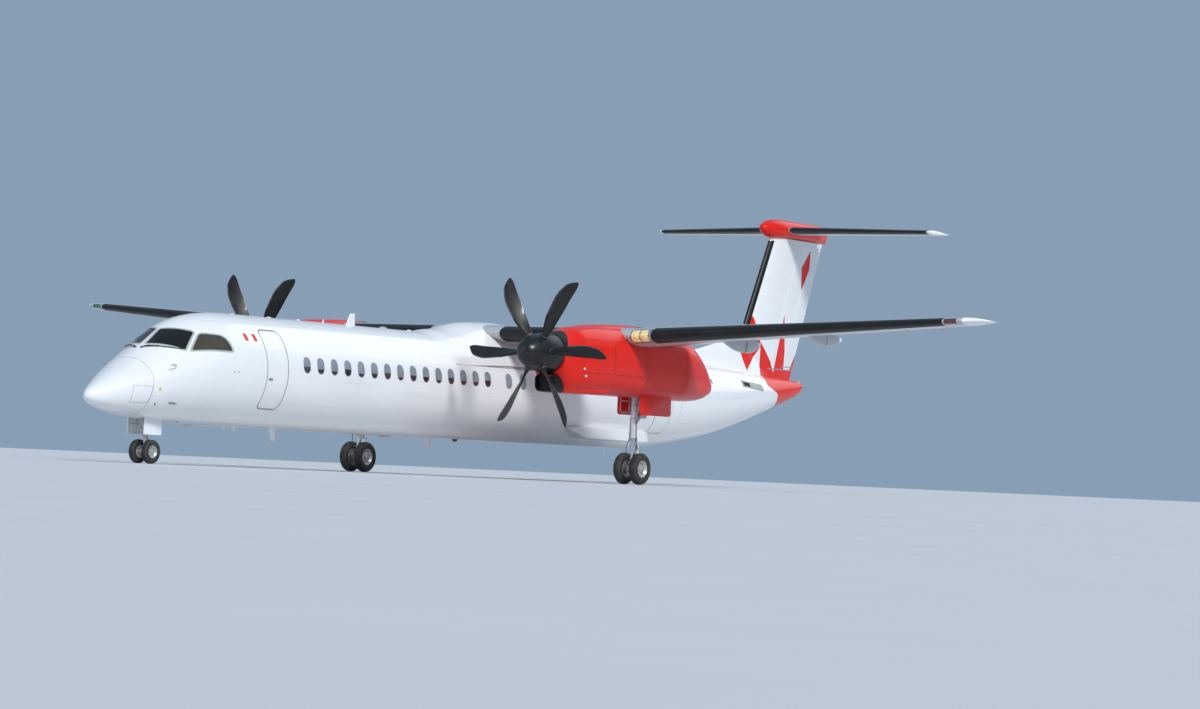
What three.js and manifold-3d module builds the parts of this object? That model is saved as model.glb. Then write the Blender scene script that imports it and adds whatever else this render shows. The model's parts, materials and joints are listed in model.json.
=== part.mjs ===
// Regional airliner with a high wing, two turboprop engines and a T-tail, standing level on its wheels.
// Millimetres. +Z is up, the nose points to -Y and the left side is at +X.
// Inside the model a point is (side, station aft of the nose tip, height above the body axis).
import * as THREE from 'three';
import { mergeVertices } from 'three/addons/utils/BufferGeometryUtils.js';
import Module from 'manifold-3d';

const wasm = await Module();
wasm.setup();

// Whole aircraft
const LENGTH = 32840;
const AXIS_HEIGHT = 2300;
const BODY_SIDES = 32;
const NACELLE_SIDES = 24;
const BULLET_SIDES = 16;
const EXHAUST_SIDES = 16;
const HINGE_SIDES = 12;
const AXLE_SIDES = 24;
const PIN_SIDES = 8;
const PIN_RADIUS = 12;
const PIN_REACH = 24;
const KNUCKLE = { radius: 20, sides: 16, web: 12, clear: 22 };
const SEAT_GAP = 0.4;
const RUNNING_GAP = 7;
const HINGE_GAP = 0.45;
const SLIVER = 1000;
const NEEDLE = 0.06;

// Body
const WALL = 90;
const BODY_COLUMNS = ['station', 'top', 'middle', 'bottom', 'half', 'power'];
const BODY_ROWS = [
  [0, -800, -800, -800, 0, 2],
  [60, -700, -800, -905, 120, 2],
  [250, -555, -770, -1010, 280, 2],
  [600, -330, -680, -1110, 490, 2],
  [1000, -90, -550, -1180, 690, 2],
  [1480, 210, -420, -1240, 890, 1.9],
  [2000, 550, -270, -1285, 1050, 1.8],
  [2560, 930, -120, -1320, 1180, 1.8],
  [3200, 1180, -30, -1340, 1280, 1.9],
  [4000, 1315, 0, -1345, 1335, 2],
  [4700, 1345, 0, -1345, 1345, 2],
  [21800, 1345, 0, -1345, 1345, 2],
  [23500, 1342, 65, -1212, 1290, 2],
  [26170, 1270, 215, -840, 1040, 2],
  [28160, 1140, 370, -400, 730, 2],
  [30030, 990, 540, 90, 420, 2],
  [31300, 930, 710, 440, 235, 2],
  [31610, 925, 755, 560, 170, 2],
  [31700, 900, 760, 620, 130, 2],
];
const CENTRE_START = 5850;
const REAR_START = 21800;
const REAR_WALL = 150;
const REAR_HOLLOW_END = 28500;
const CONE_START = 29400;
const CONE_END = 31700;

// Flight deck and entry
const FLOOR = -860;
const DECK_LEDGE = 150;
const LEDGE_FRONT = 1480;
const FOOTWELL_FRONT = 2000;
const BULKHEAD = [3950, 4050];
const DOORWAY_HALF = 300;
const DOORWAY_TOP = 1000;
const PANE_THICKNESS = 28;
// Corners of the left panes as side, station, height: the right panes mirror them
const PANES = {
  windshield: [[50, 1690, 360], [50, 2400, 850], [715, 2850, 800], [900, 2360, 360]],
  side_window: [[990, 2500, 375], [815, 2930, 770], [1040, 3580, 760], [1235, 3700, 405]],
};

// Doors: side of the body, first and last station, bottom and top height, corner radius
const DOOR_DEPTH = 70;
const DOORS = {
  service_door: { side: -1, from: 5000, to: 5690, bottom: -640, top: 830, corner: 110 },
  aft_passenger_door: { side: 1, from: 21950, to: 22720, bottom: -855, top: 850, corner: 110 },
  aft_service_door: { side: -1, from: 21950, to: 22720, bottom: -700, top: 850, corner: 110 },
  baggage_door: { side: 1, from: 23250, to: 24600, bottom: -560, top: 760, corner: 110 },
};
const ENTRY_DOOR = { from: 4905, to: 5655, bottom: -870, top: 965, corner: 130 };
const STEP = { count: 5, first: -640, pitch: 300, depth: 230, thickness: 32, width: 560, open: 130 };

// Wing: an end is its side, leading edge station, chord, depth and height of the chord line
const FOIL_STEPS = 7;
const WING_BREAK = 5120;
const WING_ROOT = { span: WING_BREAK, edge: 14600, chord: 2660, depth: 478, rise: 1440 };
const WING_TIP = { span: 13900, edge: 15800, chord: 1440, depth: 205, rise: 2035 };
const WING_END = { span: 14210, edge: 16060, chord: 1130, depth: 120, rise: 2068 };
const FLAP_HINGE = 0.77;
const FLAP_CLEAR = 13;
const FLAP_INNER = [1480, 3660];
const FLAP_OUTER = [5165, 10030];
const AILERON = [10090, 13520];
const AILERON_HINGE = 0.76;
// Fairings over the flap pivots: side, length ahead and behind the pivot, drop of the pivot, half width,
// and how far the keel lies below the pivot
const PIVOTS = {
  inner: [{ side: 2570, ahead: 620, behind: 520, drop: 330, half: 60, keel: 0 }],
  outer: [
    { side: 7250, ahead: 1150, behind: 860, drop: 330, half: 95, keel: 80 },
    { side: 9560, ahead: 950, behind: 900, drop: 330, half: 85, keel: 20 },
  ],
};

// Tail
const FIN_ROOT = { span: 1150, edge: 27800, chord: 3410, depth: 400, rise: 0 };
const FIN_TOP = { span: 5080, edge: 29710, chord: 2990, depth: 330, rise: 0 };
const FORE_RUDDER_HINGE = 0.52;
const AFT_RUDDER_HINGE = 0.79;
const RUDDER_SPAN = [1220, 4930];
const AFT_RUDDER_SPAN = [1310, 4830];
const RUDDER_GAP = 30;
const DORSAL = [[24300, 1300], [26100, 1640], [27900, 2050], [28480, 2500], [28480, 1000], [24300, 1000]];
const DORSAL_HALF = 60;
const TAIL_ROOT = { span: 0, edge: 30120, chord: 2030, depth: 230, rise: 5330 };
const TAIL_TIP = { span: 4635, edge: 30880, chord: 1270, depth: 130, rise: 5330 };
const ELEVATOR = [420, 4560];
const ELEVATOR_HINGE = 0.6;
const BULLET_COLUMNS = ['station', 'top', 'middle', 'bottom', 'half', 'power'];
const BULLET_ROWS = [
  [29180, 5330, 5330, 5330, 0, 2],
  [29300, 5450, 5330, 5190, 130, 2],
  [29600, 5560, 5330, 5080, 240, 2],
  [30100, 5620, 5330, 5060, 320, 2],
  [31200, 5615, 5330, 5085, 330, 2],
  [32200, 5580, 5330, 5090, 240, 2],
  [LENGTH, 5520, 5330, 5180, 60, 2],
];

// Engines
const ENGINE_SIDE = 4400;
const SHAFT_RISE = 860;
const NACELLE_COLUMNS = ['station', 'top', 'middle', 'bottom', 'half', 'power'];
const NACELLE_ROWS = [
  [12420, 1440, 760, -60, 560, 2.3],
  [12900, 1560, 760, -85, 660, 2.5],
  [14000, 1640, 760, -85, 700, 2.7],
  [16500, 1640, 700, -85, 700, 3],
  [17500, 1530, 680, -85, 695, 3],
  [18000, 1400, 640, -80, 655, 3],
  [18500, 1190, 570, -60, 580, 3],
  [18950, 830, 440, 0, 465, 2.8],
  [19200, 530, 320, 110, 360, 2.6],
];
// Power of the lower half of a nacelle's section, squarer than an ellipse
const NACELLE_UNDER = 2.8;
// Exhaust over the wing, with an open end
const EXHAUST_ROWS = [
  [13150, 1590, 1480, 1400, 90, 2],
  [13700, 1720, 1530, 1400, 250, 2],
  [14600, 1785, 1580, 1430, 310, 2],
  [15500, 1800, 1650, 1500, 300, 2],
  [16050, 1790, 1700, 1590, 265, 2],
];
const EXHAUST_PIPE = { wall: 18, depth: 500 };
const INTAKE = { front: 11800, back: 12500, top: 285, bottom: -100, half: 300, wall: 22, corner: 120 };
const ENGINE_BAY = { front: 12300, back: 14450, half: 400, bottom: 420, top: 1330 };
const ENGINE = { front: 12750, back: 14400, half: 330, height: 760 };
const SPINNER = { tip: 10950, base: 12360, radius: 550, wall: 30, bore: 290, hollow: 1090 };
const BLADE_STATION = 11560;
const BLADES = 6;
// Blade sections: radius, chord, thickness, pitch in degrees, sweep of the middle towards the trailing edge
const BLADE_COLUMNS = ['radius', 'chord', 'thickness', 'pitch', 'sweep'];
const BLADE_ROWS = [
  [150, 150, 150, 62, 0],
  [420, 160, 140, 60, 0],
  [640, 250, 75, 53, -15],
  [1000, 335, 40, 44, -45],
  [1450, 365, 26, 35, -45],
  [1850, 290, 16, 28, 15],
  [2055, 90, 7, 25, 110],
];
const BLADE_SIDES = 6;
const BLADE_HOLE = 135;
const SPINNER_STEPS = 20;
const HUB = { radius: 240, front: 11300, back: 11900, shaft: 90, plate: 22 };

// Landing gear
const NOSE_WHEEL = { station: 2150, radius: 280, width: 165, rim: 150, apart: 190, axle: 32 };
const MAIN_WHEEL = { station: 16100, radius: 405, width: 224, rim: 220, apart: 235, axle: 48 };
const NOSE_BAY = { from: 1780, to: 2430, half: 235, roof: -935 };
const MAIN_BAY = { from: 15800, to: 17300, half: 300, roof: 330 };
const NOSE_STRUT = { radius: 58, foot: -1660 };
const NOSE_DOOR = { from: 1800, to: 2410, drop: 330, thickness: 22 };
const MAIN_DOOR = { from: 15820, to: 17280, drop: 520, thickness: 26 };
// A tyre has a flat at its lowest place, so that the aircraft stands still
const TYRE_STEPS = 24;
const TYRE_START = Math.PI / TYRE_STEPS;
const TOW_BLOCK = { reach: 95, half: 35 };

// Jack pads: radius of the flat face, its height, and how far the pad goes into what carries it
const PAD = { radius: 60, root: 160 };
const NOSE_PAD = { station: 3050, height: -1356 };
const WING_PAD = { side: 6000, station: 15950, height: 1270 };

// Surfaces of the materials: colour, roughness and metalness
const FINISHES = {
  white: [0xf2f3f4, 0.25, 0],
  red: [0xd81e18, 0.25, 0],
  black: [0x141517, 0.55, 0],
  glass: [0x20282c, 0.08, 0],
  metal: [0xa7abae, 0.35, 0.9],
  grey: [0x8b9094, 0.5, 0.1],
  rubber: [0x1b1b1c, 0.85, 0],
  cabin: [0x4a4f55, 0.8, 0],
};

const aircraft = new THREE.Group();
aircraft.position.set(0, -LENGTH / 2, AXIS_HEIGHT);

// Solids
function solid(geometry) {
  const bare = geometry.clone();
  bare.deleteAttribute('normal');
  bare.deleteAttribute('uv');
  const merged = mergeVertices(bare, 0.001);
  return new wasm.Manifold(new wasm.Mesh({
    numProp: 3,
    vertProperties: new Float32Array(merged.attributes.position.array),
    triVerts: new Uint32Array(merged.index.array),
  }));
}

function join(first, ...others) {
  return others.reduce((sum, other) => sum.add(other), first);
}

function cut(first, ...others) {
  return others.reduce((rest, other) => rest.subtract(other), first);
}

// A cut can leave slivers beside the piece and needle faces on it: both are dropped
function add(name, body, finish) {
  const large = body.decompose().filter((part) => part.volume() > SLIVER);
  const mesh = (large.length === 1 ? large[0] : body).asOriginal().simplify(NEEDLE).getMesh();
  const geometry = new THREE.BufferGeometry();
  geometry.setAttribute('position', new THREE.BufferAttribute(mesh.vertProperties, 3));
  geometry.setIndex(new THREE.BufferAttribute(mesh.triVerts, 1));
  geometry.computeVertexNormals();
  const [color, roughness, metalness] = FINISHES[finish];
  const piece = new THREE.Mesh(geometry, new THREE.MeshStandardMaterial({ color, roughness, metalness }));
  piece.name = name;
  aircraft.add(piece);
}

// The same body on the other side of the aircraft
function mirrored(body) {
  return body.mirror([1, 0, 0]);
}

function onSide(body, side) {
  return side > 0 ? body : mirrored(body);
}

// Both propellers turn the same way, so the second is a copy and not a mirror image
function alike(body, side) {
  return side > 0 ? body : body.translate([-2 * ENGINE_SIDE, 0, 0]);
}

// A closed skin through rings of points, with a flat fan over each end
function loft(rings) {
  const count = rings[0].length;
  const points = rings.flat().map((p) => new THREE.Vector3(...p));
  const faces = [];
  for (let r = 0; r + 1 < rings.length; r++) {
    for (let k = 0; k < count; k++) {
      const a = r * count + k;
      const b = r * count + ((k + 1) % count);
      faces.push([a, b, b + count], [a, b + count, a + count]);
    }
  }
  for (const [start, flip] of [[0, true], [(rings.length - 1) * count, false]]) {
    const middle = new THREE.Vector3();
    for (let k = 0; k < count; k++) middle.addScaledVector(points[start + k], 1 / count);
    points.push(middle);
    for (let k = 0; k < count; k++) {
      const a = start + k;
      const b = start + ((k + 1) % count);
      faces.push(flip ? [b, a, points.length - 1] : [a, b, points.length - 1]);
    }
  }
  let volume = 0;
  for (const [a, b, c] of faces) volume += points[a].dot(points[b].clone().cross(points[c]));
  if (volume < 0) faces.forEach((face) => face.reverse());
  const geometry = new THREE.BufferGeometry().setFromPoints(points);
  geometry.setIndex(faces.flat());
  return solid(geometry);
}

function box(x0, x1, y0, y1, z0, z1) {
  const geometry = new THREE.BoxGeometry(x1 - x0, y1 - y0, z1 - z0);
  return solid(geometry.translate((x0 + x1) / 2, (y0 + y1) / 2, (z0 + z1) / 2));
}

// A round bar or cone between two points
function bar(from, to, radius, endRadius = radius, sides = 12) {
  const a = new THREE.Vector3(...from);
  const b = new THREE.Vector3(...to);
  const geometry = new THREE.CylinderGeometry(endRadius, radius, a.distanceTo(b), sides);
  geometry.rotateY(Math.PI / sides);
  const turn = new THREE.Quaternion().setFromUnitVectors(
    new THREE.Vector3(0, 1, 0), b.clone().sub(a).normalize());
  geometry.applyQuaternion(turn);
  return solid(geometry.translate((a.x + b.x) / 2, (a.y + b.y) / 2, (a.z + b.z) / 2));
}

function jackPad(side, { station, height }) {
  return bar([side, station, height], [side, station, height + PAD.root], PAD.radius, PAD.radius, 16);
}

// An outline in station and height, pushed along the side axis
function sidePrism(shape, x0, x1) {
  const settings = { depth: x1 - x0, bevelEnabled: false, curveSegments: 4 };
  const geometry = new THREE.ExtrudeGeometry(shape, settings);
  const turn = new THREE.Matrix4().makeBasis(
    new THREE.Vector3(0, 1, 0), new THREE.Vector3(0, 0, 1), new THREE.Vector3(1, 0, 0));
  return solid(geometry.applyMatrix4(turn).translate(x0, 0, 0));
}

function outline(points) {
  return new THREE.Shape(points.map(([x, y]) => new THREE.Vector2(x, y)));
}

function roundedRectangle(x0, x1, y0, y1, radius) {
  const shape = new THREE.Shape();
  shape.moveTo(x0 + radius, y0);
  shape.lineTo(x1 - radius, y0);
  shape.absarc(x1 - radius, y0 + radius, radius, -Math.PI / 2, 0);
  shape.lineTo(x1, y1 - radius);
  shape.absarc(x1 - radius, y1 - radius, radius, 0, Math.PI / 2);
  shape.lineTo(x0 + radius, y1);
  shape.absarc(x0 + radius, y1 - radius, radius, Math.PI / 2, Math.PI);
  shape.lineTo(x0, y0 + radius);
  shape.absarc(x0 + radius, y0 + radius, radius, Math.PI, Math.PI * 1.5);
  return shape;
}

// A profile of radius and place along the axis, turned about a line through a centre
function turned(profile, centre, axis, steps, start = 0) {
  const points = profile.map(([x, y]) => new THREE.Vector2(x, y));
  const geometry = new THREE.LatheGeometry(points, steps, start);
  const turn = new THREE.Quaternion();
  turn.setFromUnitVectors(new THREE.Vector3(0, 1, 0), new THREE.Vector3(...axis));
  return solid(geometry.applyQuaternion(turn).translate(...centre));
}

// Bodies whose section changes along the aircraft
function table(columns, rows) {
  return rows.map((row) => Object.fromEntries(columns.map((column, k) => [column, row[k]])));
}

// Smooth reading of a table between its rows, without overshoot; root spacing keeps a nose round
function reader(rows, columns) {
  const place = rows.map((row) => Math.sqrt(row.station - rows[0].station));
  const slopes = {};
  for (const column of columns) {
    const rise = rows.slice(1).map((row, k) => (row[column] - rows[k][column]) / (place[k + 1] - place[k]));
    slopes[column] = rows.map((row, k) => {
      if (k === 0 || k === rows.length - 1) return rise[Math.min(k, rise.length - 1)];
      const [a, b] = [rise[k - 1], rise[k]];
      return a * b <= 0 ? 0 : (2 * a * b) / (a + b);
    });
  }
  return (station) => {
    const at = Math.sqrt(Math.max(station - rows[0].station, 0));
    let k = place.findIndex((p) => p > at) - 1;
    if (k < 0) k = rows.length - 2;
    const width = place[k + 1] - place[k];
    const u = Math.min((at - place[k]) / width, 1);
    const read = (column) => {
      const [a, b] = [rows[k][column], rows[k + 1][column]];
      const [p, q] = [slopes[column][k] * width, slopes[column][k + 1] * width];
      return a + u * (p + u * (3 * (b - a) - 2 * p - q + u * (2 * (a - b) + p + q)));
    };
    return Object.fromEntries(columns.map((column) => [column, read(column)]));
  };
}

function tube(rows, columns, sides, under = 2) {
  const named = table(columns, rows);
  return { sides, under, rows: named, at: reader(named, columns.filter((column) => column !== 'station')) };
}

function section(body, station, inset, centre) {
  const { top, middle, bottom, half, power } = body.at(station);
  const ring = [];
  for (let k = 0; k < body.sides; k++) {
    const angle = (2 * Math.PI * k) / body.sides;
    const [c, s] = [Math.cos(angle), Math.sin(angle)];
    const bend = 2 / (s >= 0 ? power : body.under);
    const reach = Math.max(half - inset, 1);
    const height = Math.max((s >= 0 ? top - middle : middle - bottom) - inset, 1);
    ring.push([
      centre + reach * Math.sign(c) * Math.abs(c) ** bend, station,
      middle + height * Math.sign(s) * Math.abs(s) ** bend,
    ]);
  }
  return ring;
}

// A length of such a body, with rings at its rows and between them
function stretch(body, from, to, { inset = 0, centre = 0, between = 0 } = {}) {
  const stations = [from];
  const places = [];
  body.rows.forEach((row, k) => {
    const next = body.rows[k + 1];
    places.push(row.station);
    if (!next || next.station - row.station > 5000) return;
    const step = (next.station - row.station) / (between + 1);
    for (let j = 1; j <= between; j++) places.push(row.station + step * j);
  });
  for (const place of places) if (place > from + 20 && place < to - 20) stations.push(place);
  stations.push(to);
  return loft(stations.map((station) => section(body, station, inset, centre)));
}

const body = tube(BODY_ROWS, BODY_COLUMNS, BODY_SIDES);
const skinHalf = (height) => Math.sqrt(body.at(10000).half ** 2 - height ** 2);

// Tapered surfaces with an aerofoil section
function foilHalf(fraction) {
  const c = Math.max(fraction, 0);
  return 5 * (0.2969 * Math.sqrt(c) - 0.126 * c - 0.3516 * c ** 2 + 0.2843 * c ** 3 - 0.1015 * c ** 4);
}

function panel(root, tip, upright = false) {
  return {
    at(span) {
      const t = (Math.abs(span) - root.span) / (tip.span - root.span);
      const mix = (name) => root[name] + (tip[name] - root[name]) * t;
      return { span, edge: mix('edge'), chord: mix('chord'), depth: mix('depth'), rise: mix('rise') };
    },
    point(span, fraction, offset) {
      const end = this.at(span);
      const station = end.edge + fraction * end.chord;
      return upright ? [end.rise + offset, station, span] : [span, station, end.rise + offset];
    },
  };
}

// One length of a surface between two chord fractions
function foil(surface, from, to, front, back, grow = 0) {
  const ring = (span) => {
    const { chord, depth } = surface.at(span);
    const points = [];
    for (let k = 0; k <= FOIL_STEPS; k++) {
      const u = k / FOIL_STEPS;
      const fraction = front + (back - front) * (front === 0 ? u * u : u);
      points.push([fraction, foilHalf(fraction) * depth + grow]);
    }
    const shift = ([fraction, half], sign) =>
      surface.point(span, fraction + ((2 * fraction - 1) * grow) / chord, sign * half);
    const upper = points.slice(front === 0 ? 1 : 0).reverse().map((p) => shift(p, 1));
    const nose = front === 0 ? [shift([0, 0], 1)] : [];
    return [...upper, ...nose, ...points.slice(front === 0 ? 1 : 0).map((p) => shift(p, -1))];
  };
  return loft((from < 0 && to > 0 ? [from, 0, to] : [from, to]).map(ring));
}

// A block behind a chord fraction, to clear the room of a moving surface
function notch(surface, from, to, front) {
  const ring = (span) => {
    const { chord, depth } = surface.at(span);
    const start = front - HINGE_GAP / chord;
    const corners = [[start, depth], [1.2, depth], [1.2, -depth], [start, -depth]];
    return corners.map(([f, h]) => surface.point(span, f, h));
  };
  return loft([ring(from), ring(to)]);
}

// The corner radius of a many-sided hole whose flats stand at a radius
function around(radius, sides) {
  return radius / Math.cos(Math.PI / sides);
}

function hingeBar(surface, from, to, fraction, extra, scale = 1) {
  const radius = (span) => (foilHalf(fraction) * surface.at(span).depth + extra) * scale;
  return bar(
    surface.point(from, fraction, 0), surface.point(to, fraction, 0), radius(from), radius(to), HINGE_SIDES);
}

// A surface that turns on its own hinge line with a pin at each end, and the room that the fixed one gives it
function movable(surface, from, to, fraction, endGap) {
  const [a, b] = [from + endGap, to - endGap];
  const pin = (radius, reach) => bar(surface.point(a - endGap - reach, fraction, 0),
    surface.point(b + endGap + reach, fraction, 0), radius, radius, PIN_SIDES);
  return {
    moving: join(foil(surface, a, b, fraction, 1), hingeBar(surface, a + 3, b - 3, fraction, -1),
      pin(PIN_RADIUS, PIN_REACH)),
    room: [
      notch(surface, from, to, fraction),
      hingeBar(surface, from - 4, to + 4, fraction, RUNNING_GAP, around(1, HINGE_SIDES)),
      pin(around(PIN_RADIUS + HINGE_GAP, PIN_SIDES), PIN_REACH + SEAT_GAP),
    ],
  };
}

// Wing
const centreWing = panel({ ...WING_ROOT, span: 0 }, WING_ROOT);
const outerWing = panel(WING_ROOT, WING_TIP);
const wingEnd = panel(WING_TIP, WING_END);

// The swept hinge line carries the outer flap inboard as it turns, so it has a wider gap there
function flap(surface, [from, to], pivots, innerGap) {
  const nose = (side) => surface.point(side, FLAP_HINGE, 0);
  let moving = join(foil(surface, from, to, FLAP_HINGE, 1), hingeBar(surface, from, to, FLAP_HINGE, -2));
  let fixed = null;
  const arms = [];
  for (const { side, ahead, behind, drop, half, keel } of pivots) {
    const [, station, rise] = nose(side);
    const front = surface.at(side).depth * foilHalf(FLAP_HINGE);
    const pivot = [station - front, rise - drop];
    const ring = (place, top, bottom, width, lean = 0) => [
      [side + width, place, top], [side - width, place, top],
      [side - width, place + lean, bottom + width * 0.6], [side, place + lean, bottom],
      [side + width, place + lean, bottom + width * 0.6],
    ];
    const ends = [pivot[0] - ahead, pivot[0] + behind];
    const middle = rise - front * 0.5;
    const foot = pivot[1] - KNUCKLE.radius - keel;
    const frontHalf = loft([
      ring(ends[0], middle, middle - 120, half * 0.15),
      ring(ends[0] + ahead * 0.35, middle, foot + 110, half * 0.8),
      ring(pivot[0] - ahead * 0.25, middle, foot, half), ring(pivot[0], middle, foot, half)]);
    const rearHalf = loft([
      ring(pivot[0] + KNUCKLE.clear, middle - 10, foot, half, keel),
      ring(pivot[0] + behind * 0.35, middle - 10, foot + 20, half),
      ring(pivot[0] + behind * 0.75, middle - 30, foot + 120, half * 0.6),
      ring(ends[1], middle - 90, middle - 130, half * 0.12)]);
    const pin = (radius, reach) => bar(
      surface.point(side - half * 0.55 - reach, FLAP_HINGE, -drop).map((v, k) => (k === 1 ? v - front : v)),
      surface.point(side + half * 0.55 + reach, FLAP_HINGE, -drop).map((v, k) => (k === 1 ? v - front : v)),
      radius, radius, KNUCKLE.sides);
    const web = box(side - half * 0.5, side + half * 0.5, pivot[0], pivot[0] + KNUCKLE.clear + keel + 10,
      pivot[1] - KNUCKLE.web, pivot[1] + KNUCKLE.web);
    moving = join(moving, rearHalf, web, pin(KNUCKLE.radius, 0));
    const carrier = cut(frontHalf, pin(around(KNUCKLE.radius + HINGE_GAP, KNUCKLE.sides), 2));
    fixed = fixed ? join(fixed, carrier) : carrier;
    arms.push(box(side - half - FLAP_CLEAR, side + half + FLAP_CLEAR, pivot[0] - 1, station + 200,
      rise - drop - 200, rise));
  }
  const room = [
    notch(surface, from - innerGap, to + RUNNING_GAP, FLAP_HINGE),
    hingeBar(surface, from - innerGap, to + RUNNING_GAP, FLAP_HINGE, FLAP_CLEAR),
    ...arms,
  ];
  return { moving, fixed, room };
}

const innerFlap = flap(centreWing, FLAP_INNER, PIVOTS.inner, RUNNING_GAP);
const outerFlap = flap(outerWing, FLAP_OUTER, PIVOTS.outer, FLAP_OUTER[0] - WING_BREAK + 5);
const aileron = movable(outerWing, ...AILERON, AILERON_HINGE, 20);

let wingCentre = foil(centreWing, -WING_BREAK, WING_BREAK, 0, 1);
for (const side of [1, -1]) {
  wingCentre = cut(wingCentre, ...innerFlap.room.map((room) => onSide(room, side)));
  wingCentre = join(wingCentre, onSide(innerFlap.fixed, side));
}
add('wing_centre', wingCentre, 'white');

const outerBody = join(
  foil(outerWing, WING_BREAK + SEAT_GAP, WING_TIP.span, 0, 1),
  foil(wingEnd, WING_TIP.span, WING_END.span, 0, 1));
const outerPanel = join(cut(outerBody, ...outerFlap.room, ...aileron.room), outerFlap.fixed,
  jackPad(WING_PAD.side, WING_PAD));
for (const [name, side] of [['left', 1], ['right', -1]]) {
  add(`wing_${name}`, onSide(outerPanel, side), 'white');
  add(`flap_inner_${name}`, onSide(innerFlap.moving, side), 'white');
  add(`flap_outer_${name}`, onSide(outerFlap.moving, side), 'white');
  add(`aileron_${name}`, onSide(aileron.moving, side), 'white');
}
const wingCutter = foil(centreWing, -WING_BREAK, WING_BREAK, 0, 1, SEAT_GAP);

// Doors of the body: the panel fits its frame with a fine gap
function doorShape({ from, to, bottom, top, corner }, gap) {
  return roundedRectangle(from - gap, to + gap, bottom - gap, top + gap, corner + gap);
}

function setDoor(shell, name) {
  const door = DOORS[name];
  const low = Math.min(body.at(door.from).half, body.at(door.to).half);
  const depth = low * 0.55;
  const span = door.side > 0 ? [depth, 1600] : [-1600, -depth];
  const inner = stretch(body, door.from - 300, door.to + 300, { inset: DOOR_DEPTH });
  const outer = stretch(body, door.from - 300, door.to + 300);
  const leaf = cut(outer, inner);
  const recess = stretch(body, door.from - 300, door.to + 300, { inset: DOOR_DEPTH + SEAT_GAP });
  const opening = cut(sidePrism(doorShape(door, SEAT_GAP), ...span), recess);
  add(name, leaf.intersect(sidePrism(doorShape(door, 0), ...span)), 'white');
  return cut(shell, opening);
}

// Front of the body, with the flight deck and the entry
const [bulkheadFront, bulkheadBack] = BULKHEAD;
const inside = { inset: WALL };
const deckUpper = stretch(body, LEDGE_FRONT, bulkheadFront, inside)
  .intersect(box(-2000, 2000, 0, 9000, DECK_LEDGE, 2000));
const deckLower = stretch(body, FOOTWELL_FRONT, bulkheadFront, inside)
  .intersect(box(-2000, 2000, 0, 9000, FLOOR, 2000));
const entry = stretch(body, bulkheadBack, CENTRE_START + 20, inside)
  .intersect(box(-2000, 2000, 0, 9000, FLOOR, 2000));
const passage = box(-DOORWAY_HALF, DOORWAY_HALF, bulkheadFront - 50, bulkheadBack + 50, FLOOR, DOORWAY_TOP);
const noseBay = box(-NOSE_BAY.half, NOSE_BAY.half, NOSE_BAY.from, NOSE_BAY.to, -2000, NOSE_BAY.roof);
const hingeSide = skinHalf(ENTRY_DOOR.bottom);
const hingeHeight = ENTRY_DOOR.bottom - 3;
const doorOpening = sidePrism(doorShape(ENTRY_DOOR, RUNNING_GAP), 500, 1600);
const knuckles = (radius, grow) => [0.2, 0.8].map((part) => {
  const station = ENTRY_DOOR.from + (ENTRY_DOOR.to - ENTRY_DOOR.from) * part;
  const half = 60 + grow;
  return bar([hingeSide, station - half, hingeHeight], [hingeSide, station + half, hingeHeight], radius);
});
let nose = cut(stretch(body, 0, CENTRE_START - SEAT_GAP), join(deckUpper, deckLower, entry, passage),
  noseBay, doorOpening, ...knuckles(17, 2));
nose = setDoor(nose, 'service_door');

// Glass is cut from the skin where its frame is cut
function paneBlock(corners, gap) {
  const points = corners.map((corner) => new THREE.Vector3(...corner));
  const middle = points.reduce((sum, p) => sum.add(p), new THREE.Vector3()).divideScalar(points.length);
  const normal = points[2].clone().sub(points[0]).cross(points[3].clone().sub(points[1])).normalize();
  if (normal.x < 0) normal.negate();
  const edge = points.map((p) => p.clone().sub(p.clone().sub(middle).normalize().multiplyScalar(gap)));
  const ring = (reach) => edge.map((p) => p.clone().addScaledVector(normal, reach).toArray());
  return loft([ring(-230), ring(160)]);
}

const glassSkin = cut(stretch(body, 1000, 4600), stretch(body, 900, 4700, { inset: PANE_THICKNESS }));
for (const [name, corners] of Object.entries(PANES)) {
  for (const [label, side] of [['left', 1], ['right', -1]]) {
    nose = cut(nose, onSide(paneBlock(corners, 0), side));
    add(`${name}_${label}`, glassSkin.intersect(onSide(paneBlock(corners, 1), side)), 'glass');
  }
}
add('fuselage_nose', join(nose, jackPad(0, NOSE_PAD)), 'white');

// Entry door with its steps, hinged along its lower outer edge
const doorSwing = bar(
  [hingeSide, ENTRY_DOOR.from - 100, hingeHeight], [hingeSide, ENTRY_DOOR.to + 100, hingeHeight],
  Math.hypot(skinHalf(ENTRY_DOOR.top) - hingeSide, ENTRY_DOOR.top + RUNNING_GAP - hingeHeight) - 6,
  undefined, 160);
const doorLeaf = cut(stretch(body, 4400, 6200), stretch(body, 4300, 6300, { inset: WALL + 10 }))
  .intersect(sidePrism(doorShape(ENTRY_DOOR, 0), 500, 1600)).intersect(doorSwing);
const steps = [];
for (let k = 0; k < STEP.count; k++) {
  const height = STEP.first + k * STEP.pitch;
  const middle = (ENTRY_DOOR.from + ENTRY_DOOR.to) / 2;
  const lean = new THREE.Matrix4().makeRotationY(THREE.MathUtils.degToRad(180 - STEP.open));
  const tread = new THREE.BoxGeometry(STEP.depth, STEP.width, STEP.thickness)
    .translate(-STEP.depth / 2, 0, 0).applyMatrix4(lean)
    .translate(skinHalf(height) - WALL, middle, height);
  steps.push(solid(tread));
}
add('passenger_door', join(doorLeaf, ...steps, ...knuckles(16, 0)), 'white');

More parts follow.
